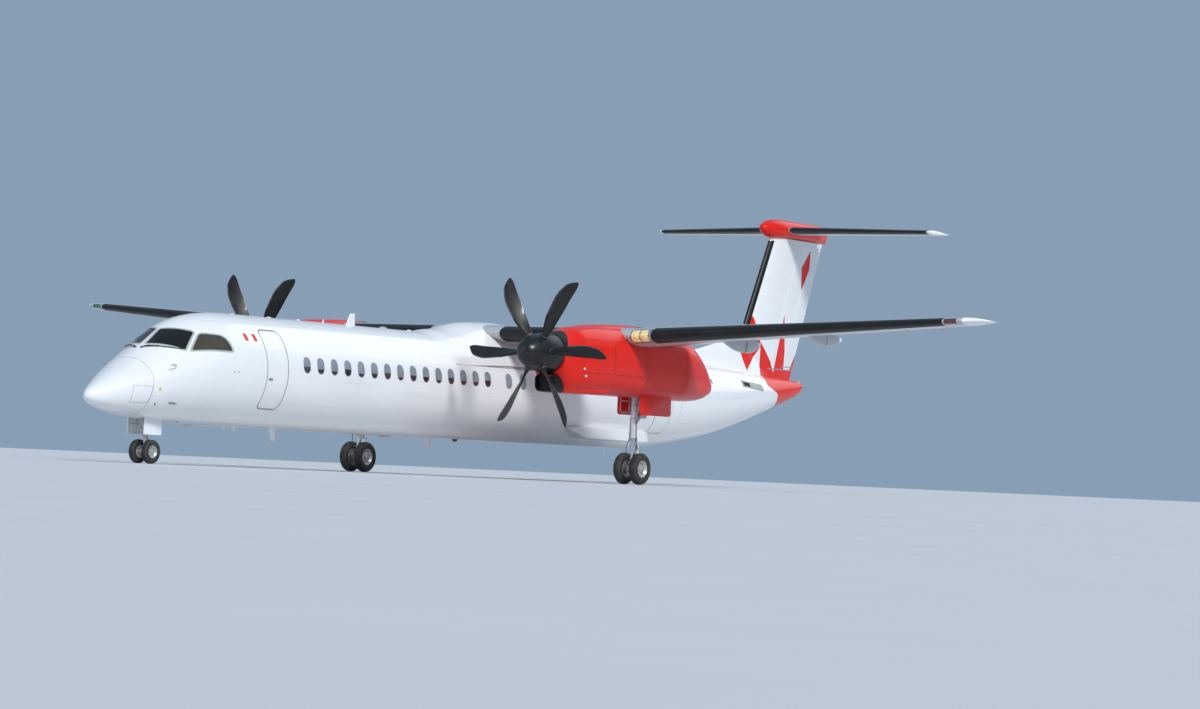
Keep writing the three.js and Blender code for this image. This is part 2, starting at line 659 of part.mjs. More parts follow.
// Instrument panel on its ledge, and the two seats on the floor
const panelPlan = new THREE.ExtrudeGeometry(
  outline([[-400, 1800], [400, 1800], [700, 2140], [700, 2200], [-700, 2200], [-700, 2140]]),
  { depth: 160, bevelEnabled: false }).translate(0, 0, DECK_LEDGE + SEAT_GAP);
const panelFace = box(-620, 620, 2020, 2120, -250, DECK_LEDGE + 60);
const ledgeTop = box(-2000, 2000, 1000, 2001, -1000, DECK_LEDGE + SEAT_GAP);
const panelRoom = stretch(body, LEDGE_FRONT, bulkheadFront, { inset: WALL + SEAT_GAP });
add('instrument_panel', cut(join(solid(panelPlan), panelFace), ledgeTop).intersect(panelRoom), 'cabin');

const seatParts = [
  box(-780, 780, 2420, 3450, FLOOR + SEAT_GAP, FLOOR + 22), box(-150, 150, 2350, 3000, FLOOR + 22, -330)];
for (const side of [-430, 430]) {
  const back = [[3180, -460], [3300, -460], [3440, 190], [3330, 210]];
  seatParts.push(
    box(side - 110, side + 110, 2850, 3200, FLOOR + 20, -500),
    box(side - 235, side + 235, 2740, 3250, -520, -400),
    sidePrism(outline(back), side - 230, side + 230),
    sidePrism(outline([[3335, 190], [3440, 180], [3460, 400], [3370, 410]]), side - 130, side + 130));
}
add('cockpit_seats', join(...seatParts), 'cabin');

// Middle and rear of the body; blade aerials are part of the skin that carries them
function blade(station, length, height, root) {
  const shape = outline([[station, root], [station + length, root], [station + length * 0.95, height],
    [station + length * 0.45, height]]);
  return sidePrism(shape, -14, 14);
}
const middle = join(
  cut(stretch(body, CENTRE_START, REAR_START - SEAT_GAP), wingCutter),
  blade(9550, 380, 1640, 1300), blade(6700, 260, -1630, -1300), blade(13080, 280, -1630, -1300));
add('fuselage_centre', middle, 'white');

let rear = cut(stretch(body, REAR_START, CONE_START - SEAT_GAP),
  stretch(body, REAR_START - 20, REAR_HOLLOW_END, { inset: REAR_WALL }));
for (const name of ['aft_passenger_door', 'aft_service_door', 'baggage_door']) rear = setDoor(rear, name);

// Fin and rudders
const finPanel = panel(FIN_ROOT, FIN_TOP, true);
const tailPanel = panel(TAIL_ROOT, TAIL_TIP);
const finBlock = foil(finPanel, 700, FIN_TOP.span, 0, 1);
const foreRudder = movable(finPanel, ...RUDDER_SPAN, FORE_RUDDER_HINGE, RUDDER_GAP);
const aftRudder = movable(finPanel, ...AFT_RUDDER_SPAN, AFT_RUDDER_HINGE, RUDDER_GAP);
const dorsal = sidePrism(outline(DORSAL), -DORSAL_HALF, DORSAL_HALF);
const cone = stretch(body, CONE_START, CONE_END);
const bodyCutter = join(stretch(body, 21000, CONE_START + 10, { inset: -SEAT_GAP }),
  stretch(body, CONE_START, CONE_END, { inset: -SEAT_GAP }));
const fin = cut(join(finBlock, dorsal), ...foreRudder.room, bodyCutter);
add('fin', fin, 'white');
add('rudder_fore', cut(foreRudder.moving, ...aftRudder.room), 'white');
add('rudder_aft', aftRudder.moving, 'white');
add('fuselage_rear', rear, 'white');
add('tail_cone', cone, 'red');

// Tailplane, elevators and the bullet around their joint
const elevator = movable(tailPanel, ...ELEVATOR, ELEVATOR_HINGE, 16);
const wholeTail = (grow) => foil(tailPanel, -TAIL_TIP.span, TAIL_TIP.span, 0, 1, grow);
const elevatorRoom = [1, -1].flatMap((side) => elevator.room.map((room) => onSide(room, side)));
const stabiliser = cut(wholeTail(0), ...elevatorRoom);
const bullet = tube(BULLET_ROWS, BULLET_COLUMNS, BULLET_SIDES);
const finTop = foil(finPanel, 4000, FIN_TOP.span + SEAT_GAP, 0, 1, SEAT_GAP);
add('stabiliser', stabiliser, 'white');
add('tail_bullet', cut(stretch(bullet, BULLET_ROWS[0][0], LENGTH), wholeTail(SEAT_GAP), finTop), 'red');
for (const [name, side] of [['left', 1], ['right', -1]]) {
  add(`elevator_${name}`, onSide(elevator.moving, side), 'white');
}

// Fairings where the wing meets the body, and low on the sides
const SADDLE_ROWS = [
  [12300, 1352, 0, -1300, 1350, 2],
  [13200, 1460, 0, -1300, 1385, 2],
  [14500, 1700, 0, -1300, 1395, 1.9],
  [15700, 1745, 0, -1300, 1395, 1.9],
  [16800, 1690, 0, -1300, 1395, 1.9],
  [18300, 1470, 0, -1300, 1385, 2],
  [19600, 1352, 0, -1300, 1350, 2],
];
const SADDLE_EDGE = 300;
const saddle = tube(SADDLE_ROWS, BODY_COLUMNS, BODY_SIDES);
const plainBody = stretch(body, CENTRE_START, REAR_START, { inset: -SEAT_GAP });
const flapRoom = [1, -1].map((side) => onSide(box(FLAP_INNER[0] - 20, 2000, 16300, 17600, 900, 1800), side));
const fairing = cut(stretch(saddle, SADDLE_ROWS[0][0], SADDLE_ROWS.at(-1)[0])
  .intersect(box(-2000, 2000, 12000, 20000, SADDLE_EDGE, 3000)), plainBody, wingCutter, ...flapRoom);
add('wing_fairing', fairing, 'white');

const STRAKE = [[17900, -880], [18700, -1150], [21900, -1170], [21500, -800]];
const strakeFace = 1225;
const strake = cut(
  sidePrism(outline(STRAKE), 500, strakeFace), stretch(body, 17000, REAR_START, { inset: -SEAT_GAP }),
  stretch(body, REAR_START, 23000, { inset: -SEAT_GAP }));

// Nacelles
const nacelle = tube(NACELLE_ROWS, NACELLE_COLUMNS, NACELLE_SIDES, NACELLE_UNDER);
const exhaust = tube(EXHAUST_ROWS, NACELLE_COLUMNS, EXHAUST_SIDES);
const exhaustEnd = EXHAUST_ROWS.at(-1)[0];
const nacelleEnds = [NACELLE_ROWS[0][0], NACELLE_ROWS.at(-1)[0]];
const mainBay = box(ENGINE_SIDE - MAIN_BAY.half, ENGINE_SIDE + MAIN_BAY.half, MAIN_BAY.from, MAIN_BAY.to,
  -600, MAIN_BAY.roof);
const engineBay = box(ENGINE_SIDE - ENGINE_BAY.half, ENGINE_SIDE + ENGINE_BAY.half, ENGINE_BAY.front,
  ENGINE_BAY.back, ENGINE_BAY.bottom, ENGINE_BAY.top);
function intakeBlock(inset, front, back) {
  const { half, top, bottom, corner } = INTAKE;
  const shape = roundedRectangle(-half + inset, half - inset, bottom + inset, top - inset, corner - inset);
  const settings = { depth: back - front, bevelEnabled: false, curveSegments: 4 };
  const geometry = new THREE.ExtrudeGeometry(shape, settings);
  geometry.rotateX(Math.PI / 2);
  return solid(geometry.translate(ENGINE_SIDE, back, 0));
}
const bayDoors = [-1, 1].map((side) => {
  const face = ENGINE_SIDE + side * (MAIN_BAY.half + MAIN_DOOR.thickness);
  const other = face + side * MAIN_DOOR.thickness;
  return box(
    Math.min(face, other), Math.max(face, other), MAIN_DOOR.from, MAIN_DOOR.to, -MAIN_DOOR.drop, 200);
});
const nacelleBody = cut(
  join(stretch(nacelle, ...nacelleEnds, { centre: ENGINE_SIDE }), intakeBlock(0, INTAKE.front, INTAKE.back),
    stretch(exhaust, EXHAUST_ROWS[0][0], exhaustEnd, { centre: ENGINE_SIDE }), ...bayDoors),
  stretch(exhaust, exhaustEnd - EXHAUST_PIPE.depth, exhaustEnd + 10,
    { centre: ENGINE_SIDE, inset: EXHAUST_PIPE.wall }),
  engineBay, mainBay, intakeBlock(INTAKE.wall, INTAKE.front - 10, INTAKE.back - 200),
  foil(centreWing, 3000, WING_BREAK, 0, 1, SEAT_GAP), foil(outerWing, WING_BREAK, 6000, 0, 1, SEAT_GAP));
const engineBottom = ENGINE_BAY.bottom + SEAT_GAP;
const engine = join(
  box(ENGINE_SIDE - ENGINE.half, ENGINE_SIDE + ENGINE.half, ENGINE.front, ENGINE.back, engineBottom,
    engineBottom + ENGINE.height),
  bar([ENGINE_SIDE, ENGINE.front - 150, SHAFT_RISE], [ENGINE_SIDE, ENGINE.front + 50, SHAFT_RISE], 170));

// Spinner and propeller
const spinnerOuter = () => {
  const points = [[0, 0]];
  for (let k = 1; k <= 6; k++) {
    const u = k / 6;
    const turn = (u * Math.PI) / 2;
    points.push([SPINNER.radius * Math.sin(turn) ** 0.72,
      (SPINNER.base - SPINNER.tip) * (1 - Math.cos(turn)) ** 0.9]);
  }
  return points;
};
const spinnerLength = SPINNER.base - SPINNER.tip;
const spinnerWall = [
  ...spinnerOuter(),
  [SPINNER.radius - SPINNER.wall, spinnerLength],
  [SPINNER.radius - SPINNER.wall, spinnerLength - 120],
  [SPINNER.bore, spinnerLength - SPINNER.hollow],
  [0, spinnerLength - SPINNER.hollow - 20],
];
const bladeAngles = Array.from({ length: BLADES }, (_, k) => (2 * Math.PI * k) / BLADES + Math.PI / BLADES);
const radial = (angle, radius, station) =>
  [ENGINE_SIDE + radius * Math.sin(angle), station, SHAFT_RISE + radius * Math.cos(angle)];
const spinner = cut(turned(spinnerWall, [ENGINE_SIDE, SPINNER.tip, SHAFT_RISE], [0, 1, 0], SPINNER_STEPS),
  ...bladeAngles.map((angle) => bar(
    radial(angle, 300, BLADE_STATION), radial(angle, 700, BLADE_STATION), BLADE_HOLE, BLADE_HOLE, 8)));

function bladeSolid(angle) {
  const rows = table(BLADE_COLUMNS, BLADE_ROWS);
  const rings = rows.map(({ radius, chord, thickness, pitch, sweep }) => {
    const turn = THREE.MathUtils.degToRad(pitch);
    return Array.from({ length: BLADE_SIDES }, (_, k) => {
      const step = (2 * Math.PI * k) / BLADE_SIDES;
      const along = (chord / 2) * Math.cos(step) + sweep;
      const across = (thickness / 2) * Math.sin(step);
      const tangent = along * Math.cos(turn) - across * Math.sin(turn);
      const station = BLADE_STATION + along * Math.sin(turn) + across * Math.cos(turn);
      const [x, , z] = radial(angle, radius, station);
      return [x + tangent * Math.cos(angle), station, z - tangent * Math.sin(angle)];
    });
  });
  return loft(rings);
}
const atShaft = (station) => [ENGINE_SIDE, station, SHAFT_RISE];
const plateRadius = (SPINNER.radius - SPINNER.wall - SEAT_GAP) * Math.cos(Math.PI / SPINNER_STEPS);
const propeller = join(
  bar(atShaft(HUB.front), atShaft(HUB.back), HUB.radius, HUB.radius, 16),
  bar(atShaft(HUB.back - 10), atShaft(SPINNER.base), HUB.shaft + 60),
  bar(atShaft(SPINNER.base - HUB.plate), atShaft(SPINNER.base), plateRadius, plateRadius, SPINNER_STEPS),
  bar(atShaft(HUB.back), atShaft(ENGINE.front - 150 - SEAT_GAP), HUB.shaft),
  ...bladeAngles.map(bladeSolid));

// Wheels: both hubs of a leg share a live axle that turns in the foot of the leg
function wheelPair(wheel, side) {
  const { station, radius, width, rim, apart, axle } = wheel;
  const centre = [side, station, radius - AXIS_HEIGHT];
  const hub = (at) => turned([
    [0, -width * 0.38], [rim, -width * 0.38], [rim, width * 0.38], [0, width * 0.38]],
  [centre[0] + at, centre[1], centre[2]], [1, 0, 0], TYRE_STEPS, TYRE_START);
  const axleBar = bar(
    [side - apart, centre[1], centre[2]], [side + apart, centre[1], centre[2]], axle, axle, AXLE_SIDES);
  const bore = rim + SEAT_GAP;
  const shoulder = bore + (radius - bore) * 0.55;
  const tread = around(radius, TYRE_STEPS);
  const profile = [
    [bore, -width * 0.38], [shoulder, -width * 0.5], [tread, -width * 0.26],
    [tread, width * 0.26], [shoulder, width * 0.5], [bore, width * 0.38], [bore, -width * 0.38]];
  const tyre = (at) => turned(
    profile, [centre[0] + at, centre[1], centre[2]], [1, 0, 0], TYRE_STEPS, TYRE_START);
  return { centre, hubs: join(axleBar, hub(apart), hub(-apart)), tyres: [tyre(apart), tyre(-apart)] };
}

function axleEye(centre, axle, reach, wall) {
  const [side, station, height] = centre;
  const end = (at, radius) => bar(
    [side - at, station, height], [side + at, station, height], radius, radius, AXLE_SIDES);
  return { eye: end(reach, axle + wall), hole: end(reach + 5, around(axle + HINGE_GAP, AXLE_SIDES)) };
}

const noseWheels = wheelPair(NOSE_WHEEL, 0);
const noseEye = axleEye(noseWheels.centre, NOSE_WHEEL.axle, 95, 24);
const noseStation = NOSE_WHEEL.station;
const noseStrut = join(
  bar([0, noseStation, NOSE_STRUT.foot], [0, noseStation, NOSE_BAY.roof - SEAT_GAP], NOSE_STRUT.radius),
  bar([0, noseStation, -1540], [0, 1850, NOSE_BAY.roof - 60], 26),
  box(-90, 90, 1800, 1900, NOSE_BAY.roof - 110, NOSE_BAY.roof - SEAT_GAP),
  box(-150, 150, noseStation - 40, noseStation + 40, -1020, NOSE_BAY.roof - SEAT_GAP));
const noseFork = cut(join(
  bar([0, noseStation, noseWheels.centre[2]], [0, noseStation, NOSE_STRUT.foot - SEAT_GAP], 42),
  bar([0, noseStation, NOSE_STRUT.foot - 70], [0, noseStation, NOSE_STRUT.foot - SEAT_GAP], 68),
  sidePrism(outline([
    [noseStation + 30, NOSE_STRUT.foot - 60], [noseStation + 30, NOSE_STRUT.foot - 10],
    [noseStation + 190, -1780], [noseStation + 40, -1990], [noseStation + 20, -1960],
    [noseStation + 150, -1780]]), -22, 22),
  box(-TOW_BLOCK.half, TOW_BLOCK.half, noseStation - TOW_BLOCK.reach, noseStation - 20,
    noseWheels.centre[2] - TOW_BLOCK.half, noseWheels.centre[2] + TOW_BLOCK.half),
  noseEye.eye), noseEye.hole);
add('nose_strut', noseStrut, 'grey');
add('nose_fork', noseFork, 'grey');
add('nose_wheels', noseWheels.hubs, 'metal');
add('nose_tyre_left', noseWheels.tyres[0], 'rubber');
add('nose_tyre_right', noseWheels.tyres[1], 'rubber');
for (const [name, side] of [['left', 1], ['right', -1]]) {
  const edge = NOSE_BAY.half;
  const sheet = box(edge + 6, edge + 6 + NOSE_DOOR.thickness, NOSE_DOOR.from, NOSE_DOOR.to,
    body.at(noseStation).bottom - NOSE_DOOR.drop, -1000);
  const leaf = cut(onSide(sheet, side), stretch(body, 1000, 3000, { inset: -SEAT_GAP }));
  add(`nose_door_${name}`, leaf, 'white');
}

const mainWheels = wheelPair(MAIN_WHEEL, ENGINE_SIDE);
const mainEye = axleEye(mainWheels.centre, MAIN_WHEEL.axle, 110, 34);
const mainStation = MAIN_WHEEL.station;
const mainTop = MAIN_BAY.roof - SEAT_GAP;
const mainStrut = cut(join(
  bar([ENGINE_SIDE, mainStation, -1150], [ENGINE_SIDE, mainStation, mainTop], 92),
  bar([ENGINE_SIDE, mainStation, mainWheels.centre[2]], [ENGINE_SIDE, mainStation, -1140], 64),
  box(ENGINE_SIDE - 260, ENGINE_SIDE + 260, mainStation - 60, mainStation + 60, 180, mainTop),
  bar([ENGINE_SIDE, mainStation, -820], [ENGINE_SIDE, 17150, 180], 40),
  box(ENGINE_SIDE - 110, ENGINE_SIDE + 110, 17080, 17220, 120, mainTop),
  sidePrism(outline([[mainStation + 50, -1140], [mainStation + 50, -1060], [mainStation + 290, -1400],
    [mainStation + 70, -1800], [mainStation + 40, -1770], [mainStation + 240, -1400]]),
  ENGINE_SIDE - 30, ENGINE_SIDE + 30),
  mainEye.eye), mainEye.hole);

for (const [name, side] of [['left', 1], ['right', -1]]) {
  add(`belly_fairing_${name}`, onSide(strake, side), 'white');
  add(`nacelle_${name}`, onSide(nacelleBody, side), 'red');
  add(`engine_${name}`, onSide(engine, side), 'grey');
  add(`spinner_${name}`, alike(spinner, side), 'black');
  add(`propeller_${name}`, alike(propeller, side), 'black');
  add(`main_strut_${name}`, onSide(mainStrut, side), 'grey');
  add(`main_wheels_${name}`, onSide(mainWheels.hubs, side), 'metal');
  add(`main_tyre_${name}_outer`, onSide(mainWheels.tyres[0], side), 'rubber');
  add(`main_tyre_${name}_inner`, onSide(mainWheels.tyres[1], side), 'rubber');
}

export default aircraft;
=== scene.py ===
"""Dresses a high-wing twin-turboprop airliner with a T-tail, standing on its wheels.

Metres. The nose points to -Y, the left side is at +X and the ground is at Z = 0.
Inside the tables a place is (side, station aft of the nose tip, height above the body axis).
"""

import json
import math

import bmesh
import bpy
from mathutils import Matrix, Vector

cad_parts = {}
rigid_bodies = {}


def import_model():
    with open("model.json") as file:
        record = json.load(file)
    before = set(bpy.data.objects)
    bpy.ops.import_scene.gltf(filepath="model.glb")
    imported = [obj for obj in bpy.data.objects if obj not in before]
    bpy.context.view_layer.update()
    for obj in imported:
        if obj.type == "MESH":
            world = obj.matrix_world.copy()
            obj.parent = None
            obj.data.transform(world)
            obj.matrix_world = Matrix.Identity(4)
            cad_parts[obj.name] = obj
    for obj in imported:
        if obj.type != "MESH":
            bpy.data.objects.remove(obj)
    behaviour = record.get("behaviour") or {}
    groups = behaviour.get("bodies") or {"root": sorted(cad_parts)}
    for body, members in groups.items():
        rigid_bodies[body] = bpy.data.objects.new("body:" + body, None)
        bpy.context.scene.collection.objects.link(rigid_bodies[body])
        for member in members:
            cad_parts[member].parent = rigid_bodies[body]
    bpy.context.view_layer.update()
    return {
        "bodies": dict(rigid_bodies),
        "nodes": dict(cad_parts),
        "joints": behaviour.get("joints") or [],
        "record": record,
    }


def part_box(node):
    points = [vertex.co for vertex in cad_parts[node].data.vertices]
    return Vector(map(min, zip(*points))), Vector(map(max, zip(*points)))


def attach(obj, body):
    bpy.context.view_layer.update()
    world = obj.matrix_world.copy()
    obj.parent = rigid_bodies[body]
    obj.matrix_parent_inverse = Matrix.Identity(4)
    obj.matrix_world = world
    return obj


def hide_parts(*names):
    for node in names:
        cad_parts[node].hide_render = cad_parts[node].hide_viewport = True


bl_info = {
    "name": "Turboprop airliner",
    "version": (1, 0, 0),
    "blender": (4, 5, 0),
    "location": "3D View > Sidebar > Airliner",
    "description": "Builds the skin, windows, wings, propellers and landing gear of a regional airliner",
    "category": "Add Mesh",
}

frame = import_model()

LENGTH = 32.84
MIDDLE = LENGTH / 2
BODY_RADIUS = 1.345
# Height of the body axis above the ground, and of the propeller shafts above that axis
AXIS = 2.30
SHAFT = 0.86
ENGINE_SIDE = 4.40
SIDES = ((1, "left"), (-1, "right"))

# Sections of the round bodies: station, top, middle, bottom, half width, power of the upper half
BODY = [
    (0, -0.800, -0.800, -0.800, 0, 2),
    (0.060, -0.700, -0.800, -0.905, 0.120, 2),
    (0.250, -0.555, -0.770, -1.010, 0.280, 2),
    (0.600, -0.330, -0.680, -1.110, 0.490, 2),
    (1.000, -0.090, -0.550, -1.180, 0.690, 2),
    (1.480, 0.210, -0.420, -1.240, 0.890, 1.9),
    (2.000, 0.550, -0.270, -1.285, 1.050, 1.8),
    (2.560, 0.930, -0.120, -1.320, 1.180, 1.8),
    (3.200, 1.180, -0.030, -1.340, 1.280, 1.9),
    (4.000, 1.315, 0, -1.345, 1.335, 2),
    (4.700, BODY_RADIUS, 0, -BODY_RADIUS, BODY_RADIUS, 2),
    (21.800, BODY_RADIUS, 0, -BODY_RADIUS, BODY_RADIUS, 2),
    (23.500, 1.342, 0.065, -1.212, 1.290, 2),
    (26.170, 1.270, 0.215, -0.840, 1.040, 2),
    (28.160, 1.140, 0.370, -0.400, 0.730, 2),
    (30.030, 0.990, 0.540, 0.090, 0.420, 2),
    (31.300, 0.930, 0.710, 0.440, 0.235, 2),
    (31.610, 0.925, 0.755, 0.560, 0.170, 2),
    (31.700, 0.900, 0.760, 0.620, 0.130, 2),
]
BULLET = [
    (29.180, 5.330, 5.330, 5.330, 0, 2),
    (29.300, 5.460, 5.330, 5.180, 0.145, 2),
    (29.600, 5.575, 5.330, 5.070, 0.255, 2),
    (30.100, 5.620, 5.330, 5.045, 0.325, 2),
    (31.200, 5.618, 5.330, 5.085, 0.330, 2.1),
    (32.200, 5.610, 5.340, 5.092, 0.240, 2.4),
    (LENGTH, 5.590, 5.350, 5.105, 0.075, 2.6),
]
SADDLE = [
    (12.300, 1.352, 0, -1.300, 1.350, 2),
    (13.200, 1.460, 0, -1.300, 1.385, 2),
    (14.500, 1.700, 0, -1.300, 1.395, 1.9),
    (15.700, 1.745, 0, -1.300, 1.395, 1.9),
    (16.800, 1.690, 0, -1.300, 1.395, 1.9),
    (18.300, 1.470, 0, -1.300, 1.385, 2),
    (19.600, 1.352, 0, -1.300, 1.350, 2),
]
NACELLE = [
    (12.085, 1.372, 0.860, 0.348, 0.512, 2),
    (12.240, 1.405, 0.830, 0.180, 0.540, 2.1),
    (12.420, 1.440, 0.760, -0.060, 0.565, 2.3),
    (12.900, 1.560, 0.760, -0.085, 0.660, 2.5),
    (14.000, 1.640, 0.760, -0.085, 0.700, 2.7),
    (16.500, 1.640, 0.700, -0.085, 0.700, 3),
    (17.550, 1.530, 0.680, -0.085, 0.700, 3.6),
    (17.610, 1.515, 0.678, -0.085, 0.695, 3.6),
    (18.100, 1.370, 0.630, -0.080, 0.605, 3.6),
    (18.550, 1.150, 0.560, -0.060, 0.505, 3.4),
    (18.950, 0.840, 0.450, 0.000, 0.420, 3),
    (19.200, 0.550, 0.330, 0.105, 0.350, 2.6),
]
NACELLE_UNDER = 2.8
EXHAUST = [
    (13.150, 1.580, 1.480, 1.400, 0.090, 2),
    (13.700, 1.660, 1.520, 1.400, 0.250, 2),
    (14.600, 1.712, 1.560, 1.430, 0.310, 2),
    (15.500, 1.735, 1.620, 1.480, 0.300, 2),
    (16.050, 1.740, 1.650, 1.540, 0.265, 2),
]

# Ends of the tapered surfaces: span, leading edge station, chord, depth, height of the chord line
WING_CENTRE = ((0, 14.600, 2.660, 0.478, 1.440), (5.120, 14.600, 2.660, 0.478, 1.440))
WING_OUTER = ((5.120, 14.600, 2.660, 0.478, 1.440), (13.900, 15.800, 1.440, 0.205, 2.035))
FIN = ((1.150, 27.800, 3.410, 0.400, 0), (5.080, 29.710, 2.990, 0.330, 0))
TAIL = ((0, 30.120, 2.030, 0.230, 5.330), (4.635, 30.880, 1.270, 0.130, 5.330))

# Doors that stay shut and show as a seam: side, first and last station, lower and upper height, skin
DOORS = [
    (-1, 5.000, 5.690, -0.640, 0.830, "nose"),
    (1, 21.950, 22.720, -0.855, 0.850, "rear"),
    (-1, 21.950, 22.720, -0.700, 0.850, "rear"),
    (1, 23.250, 24.600, -0.560, 0.760, "rear"),
]
# The entry door on the left: first and last station, lower and upper height, corner radius
ENTRY = (4.905, 5.655, -0.870, 0.965, 0.130)
ENTRY_GAP = 0.006
DOOR_CORNER = 0.11

# Hinge lines as shares of the chord, and the gap around the noses of the smaller surfaces
FLAP_HINGE, AILERON_HINGE, ELEVATOR_HINGE, RUDDER_HINGE, REAR_RUDDER_HINGE = 0.77, 0.76, 0.60, 0.52, 0.79
SMALL_GAP = 0.008

# Ridge ahead of the fin: station and height
RIDGE = [(24.3, 1.30), (26.1, 1.64), (27.9, 2.05), (28.48, 2.50)]
RIDGE_FOOT = RIDGE[-1][0]

# Red paint at the tail, outlines in station and height: the cone and the darts that rise from it
CONE = [(29.98, -0.30), (31.90, -0.30), (31.90, 1.40), (30.45, 1.40), (29.70, 0.55)]
STUB = [(30.40, 0.60), (31.95, 0.60), (31.95, 1.225), (30.40, 1.225)]
DARTS = [
    [(29.05, 0.72), (29.98, 0.42), (30.30, 0.95), (29.72, 1.45), (29.12, 2.30)],
    [(29.80, 0.60), (30.62, 0.60), (30.64, 1.70), (30.46, 2.85)],
    [(30.55, 0.60), (31.50, 0.60), (31.58, 1.95)],
    [(28.20, 1.10), (29.14, 1.86), (28.74, 2.72), (27.94, 2.02)],
    [(31.46, 3.62), (31.93, 4.28), (31.92, 4.84), (31.38, 4.30)],
]

# How deep the glass of the flight deck lies in its frames
PANE_DEPTH = 0.016
# Flight deck panes on the left: corners as side, station, height, and how far each corner is rounded
PANES = [
    ([(0.095, 1.900, 0.490), (0.060, 2.410, 0.850), (0.715, 2.850, 0.800), (0.900, 2.360, 0.360)],
     [0.05, 0.05, 0.07, 0.06]),
    ([(0.990, 2.500, 0.375), (0.815, 2.930, 0.770), (1.040, 3.580, 0.760), (1.235, 3.700, 0.405)],
     [0.07, 0.09, 0.20, 0.10]),
]


def place(side, station, height):
    """The scene's point for a side, a station and a height above the body axis."""
    return Vector((side, station - MIDDLE, height + AXIS))


def reader(rows):
    """Smooth reading of a table between its rows, without overshoot; root spacing keeps a nose round."""
    at = [math.sqrt(row[0] - rows[0][0]) for row in rows]
    slopes = []
    for column in range(1, len(rows[0])):
        rise = [(b[column] - a[column]) / (q - p) for a, b, p, q in zip(rows, rows[1:], at, at[1:])]
        inner = [0 if a * b <= 0 else 2 * a * b / (a + b) for a, b in zip(rise, rise[1:])]
        slopes.append([rise[0], *inner, rise[-1]])

    def read(station):
        spot = math.sqrt(max(station - rows[0][0], 0))
        k = max(i for i, p in enumerate(at[:-1]) if p <= spot or i == 0)
        width = at[k + 1] - at[k]
        u = min((spot - at[k]) / width, 1)
        values = []
        for column, slope in enumerate(slopes, 1):
            a, b = rows[k][column], rows[k + 1][column]
            p, q = slope[k] * width, slope[k + 1] * width
            values.append(a + u * (p + u * (3 * (b - a) - 2 * p - q + u * (2 * (a - b) + p + q))))
        return values

    return read


class Tube:
    """A round body along the aircraft, such as the fuselage or a nacelle."""

    def __init__(self, rows, centre=0, under=2):
        self.read = reader(rows)
        self.centre = centre
        self.under = under

    def point(self, turn, station, inset=0):
        """turn runs once around from the left side over the top."""
        top, middle, bottom, half, power = self.read(station)
        c, s = math.cos(turn), math.sin(turn)
        bend = 2 / (power if s >= 0 else self.under)
        reach = max(half - inset, 0)
        height = max((top - middle if s >= 0 else middle - bottom) - inset, 0)
        side = self.centre + reach * math.copysign(abs(c) ** bend, c)
        return place(side, station, middle + height * math.copysign(abs(s) ** bend, s))

    def side(self, station, height):
        """Half width of the body at a station and height."""
        top, middle, bottom, half, power = self.read(station)
        reach = (height - middle) / (top - middle if height > middle else bottom - middle)
        power = power if height > middle else self.under
        return half * max(1 - min(abs(reach), 1) ** power, 0) ** (1 / power)


def fade(share):
    """Runs smoothly from 0 to 1."""
    share = min(max(share, 0), 1)
    return share * share * (3 - 2 * share)


def foil_half(fraction):
    """Half thickness of the aerofoil at a chord fraction, for a depth of 1."""
    c = min(max(fraction, 0), 1)
    return 5 * (0.2969 * math.sqrt(c) - 0.126 * c - 0.3516 * c**2 + 0.2843 * c**3 - 0.1015 * c**4)


class Foil:
    """A tapered surface: a wing panel, the fin or the tailplane."""

    def __init__(self, ends, upright=False):
        self.root, self.tip = ends
        self.upright = upright

    def at(self, span):
        t = (abs(span) - self.root[0]) / (self.tip[0] - self.root[0])
        return [a + (b - a) * t for a, b in zip(self.root[1:], self.tip[1:])]

    def point(self, span, fraction, offset):
        edge, chord, _, rise = self.at(span)
        station = edge + fraction * chord
        if self.upright:
            return place(rise + offset, station, span)
        return place(span, station, rise + offset)

    def skin(self, span, fraction, face):
        """A point on one face, 1 for the upper or left one and -1 for the other."""
        return self.point(span, fraction, face * foil_half(fraction) * self.at(span)[2])


body = Tube(BODY)
bullet = Tube(BULLET)
saddle = Tube(SADDLE)
centre_wing = Foil(WING_CENTRE)
outer_wing = Foil(WING_OUTER)
fin = Foil(FIN, upright=True)
tail = Foil(TAIL)


# Mesh helpers
UPRIGHT, BACKWARD = (0, 0, 1), (0, 1, 0)
RIM_ANGLE = 1.0
LINE_STEP = 0.08
PIPE_STEPS = 5
SEAM_DEPTH = 0.03
WINDOW_DEPTH = 0.008


def spread(first, last, count):
    return [first + (last - first) * k / count for k in range(count + 1)]


def sheet(bm, us, vs, spot):
    """A grid over two lists of values, each crossing moved to its spot on a surface."""
    made = bmesh.ops.create_grid(bm, x_segments=len(us) - 1, y_segments=len(vs) - 1, size=0.5)["verts"]
    for vert in made:
        u = us[round((vert.co.x + 0.5) * (len(us) - 1))]
        v = vs[round((vert.co.y + 0.5) * (len(vs) - 1))]
        vert.co = spot(u, v)
    return made


def close(bm, distance=0.0005):
    """Joins what meets and turns every face outwards."""
    bmesh.ops.remove_doubles(bm, verts=bm.verts, dist=distance)
    bmesh.ops.dissolve_degenerate(bm, edges=bm.edges, dist=0.00002)
    bmesh.ops.recalc_face_normals(bm, faces=bm.faces)


def cap(bm):
    """Fills every open border."""
    bmesh.ops.holes_fill(bm, edges=[edge for edge in bm.edges if edge.is_boundary], sides=0)


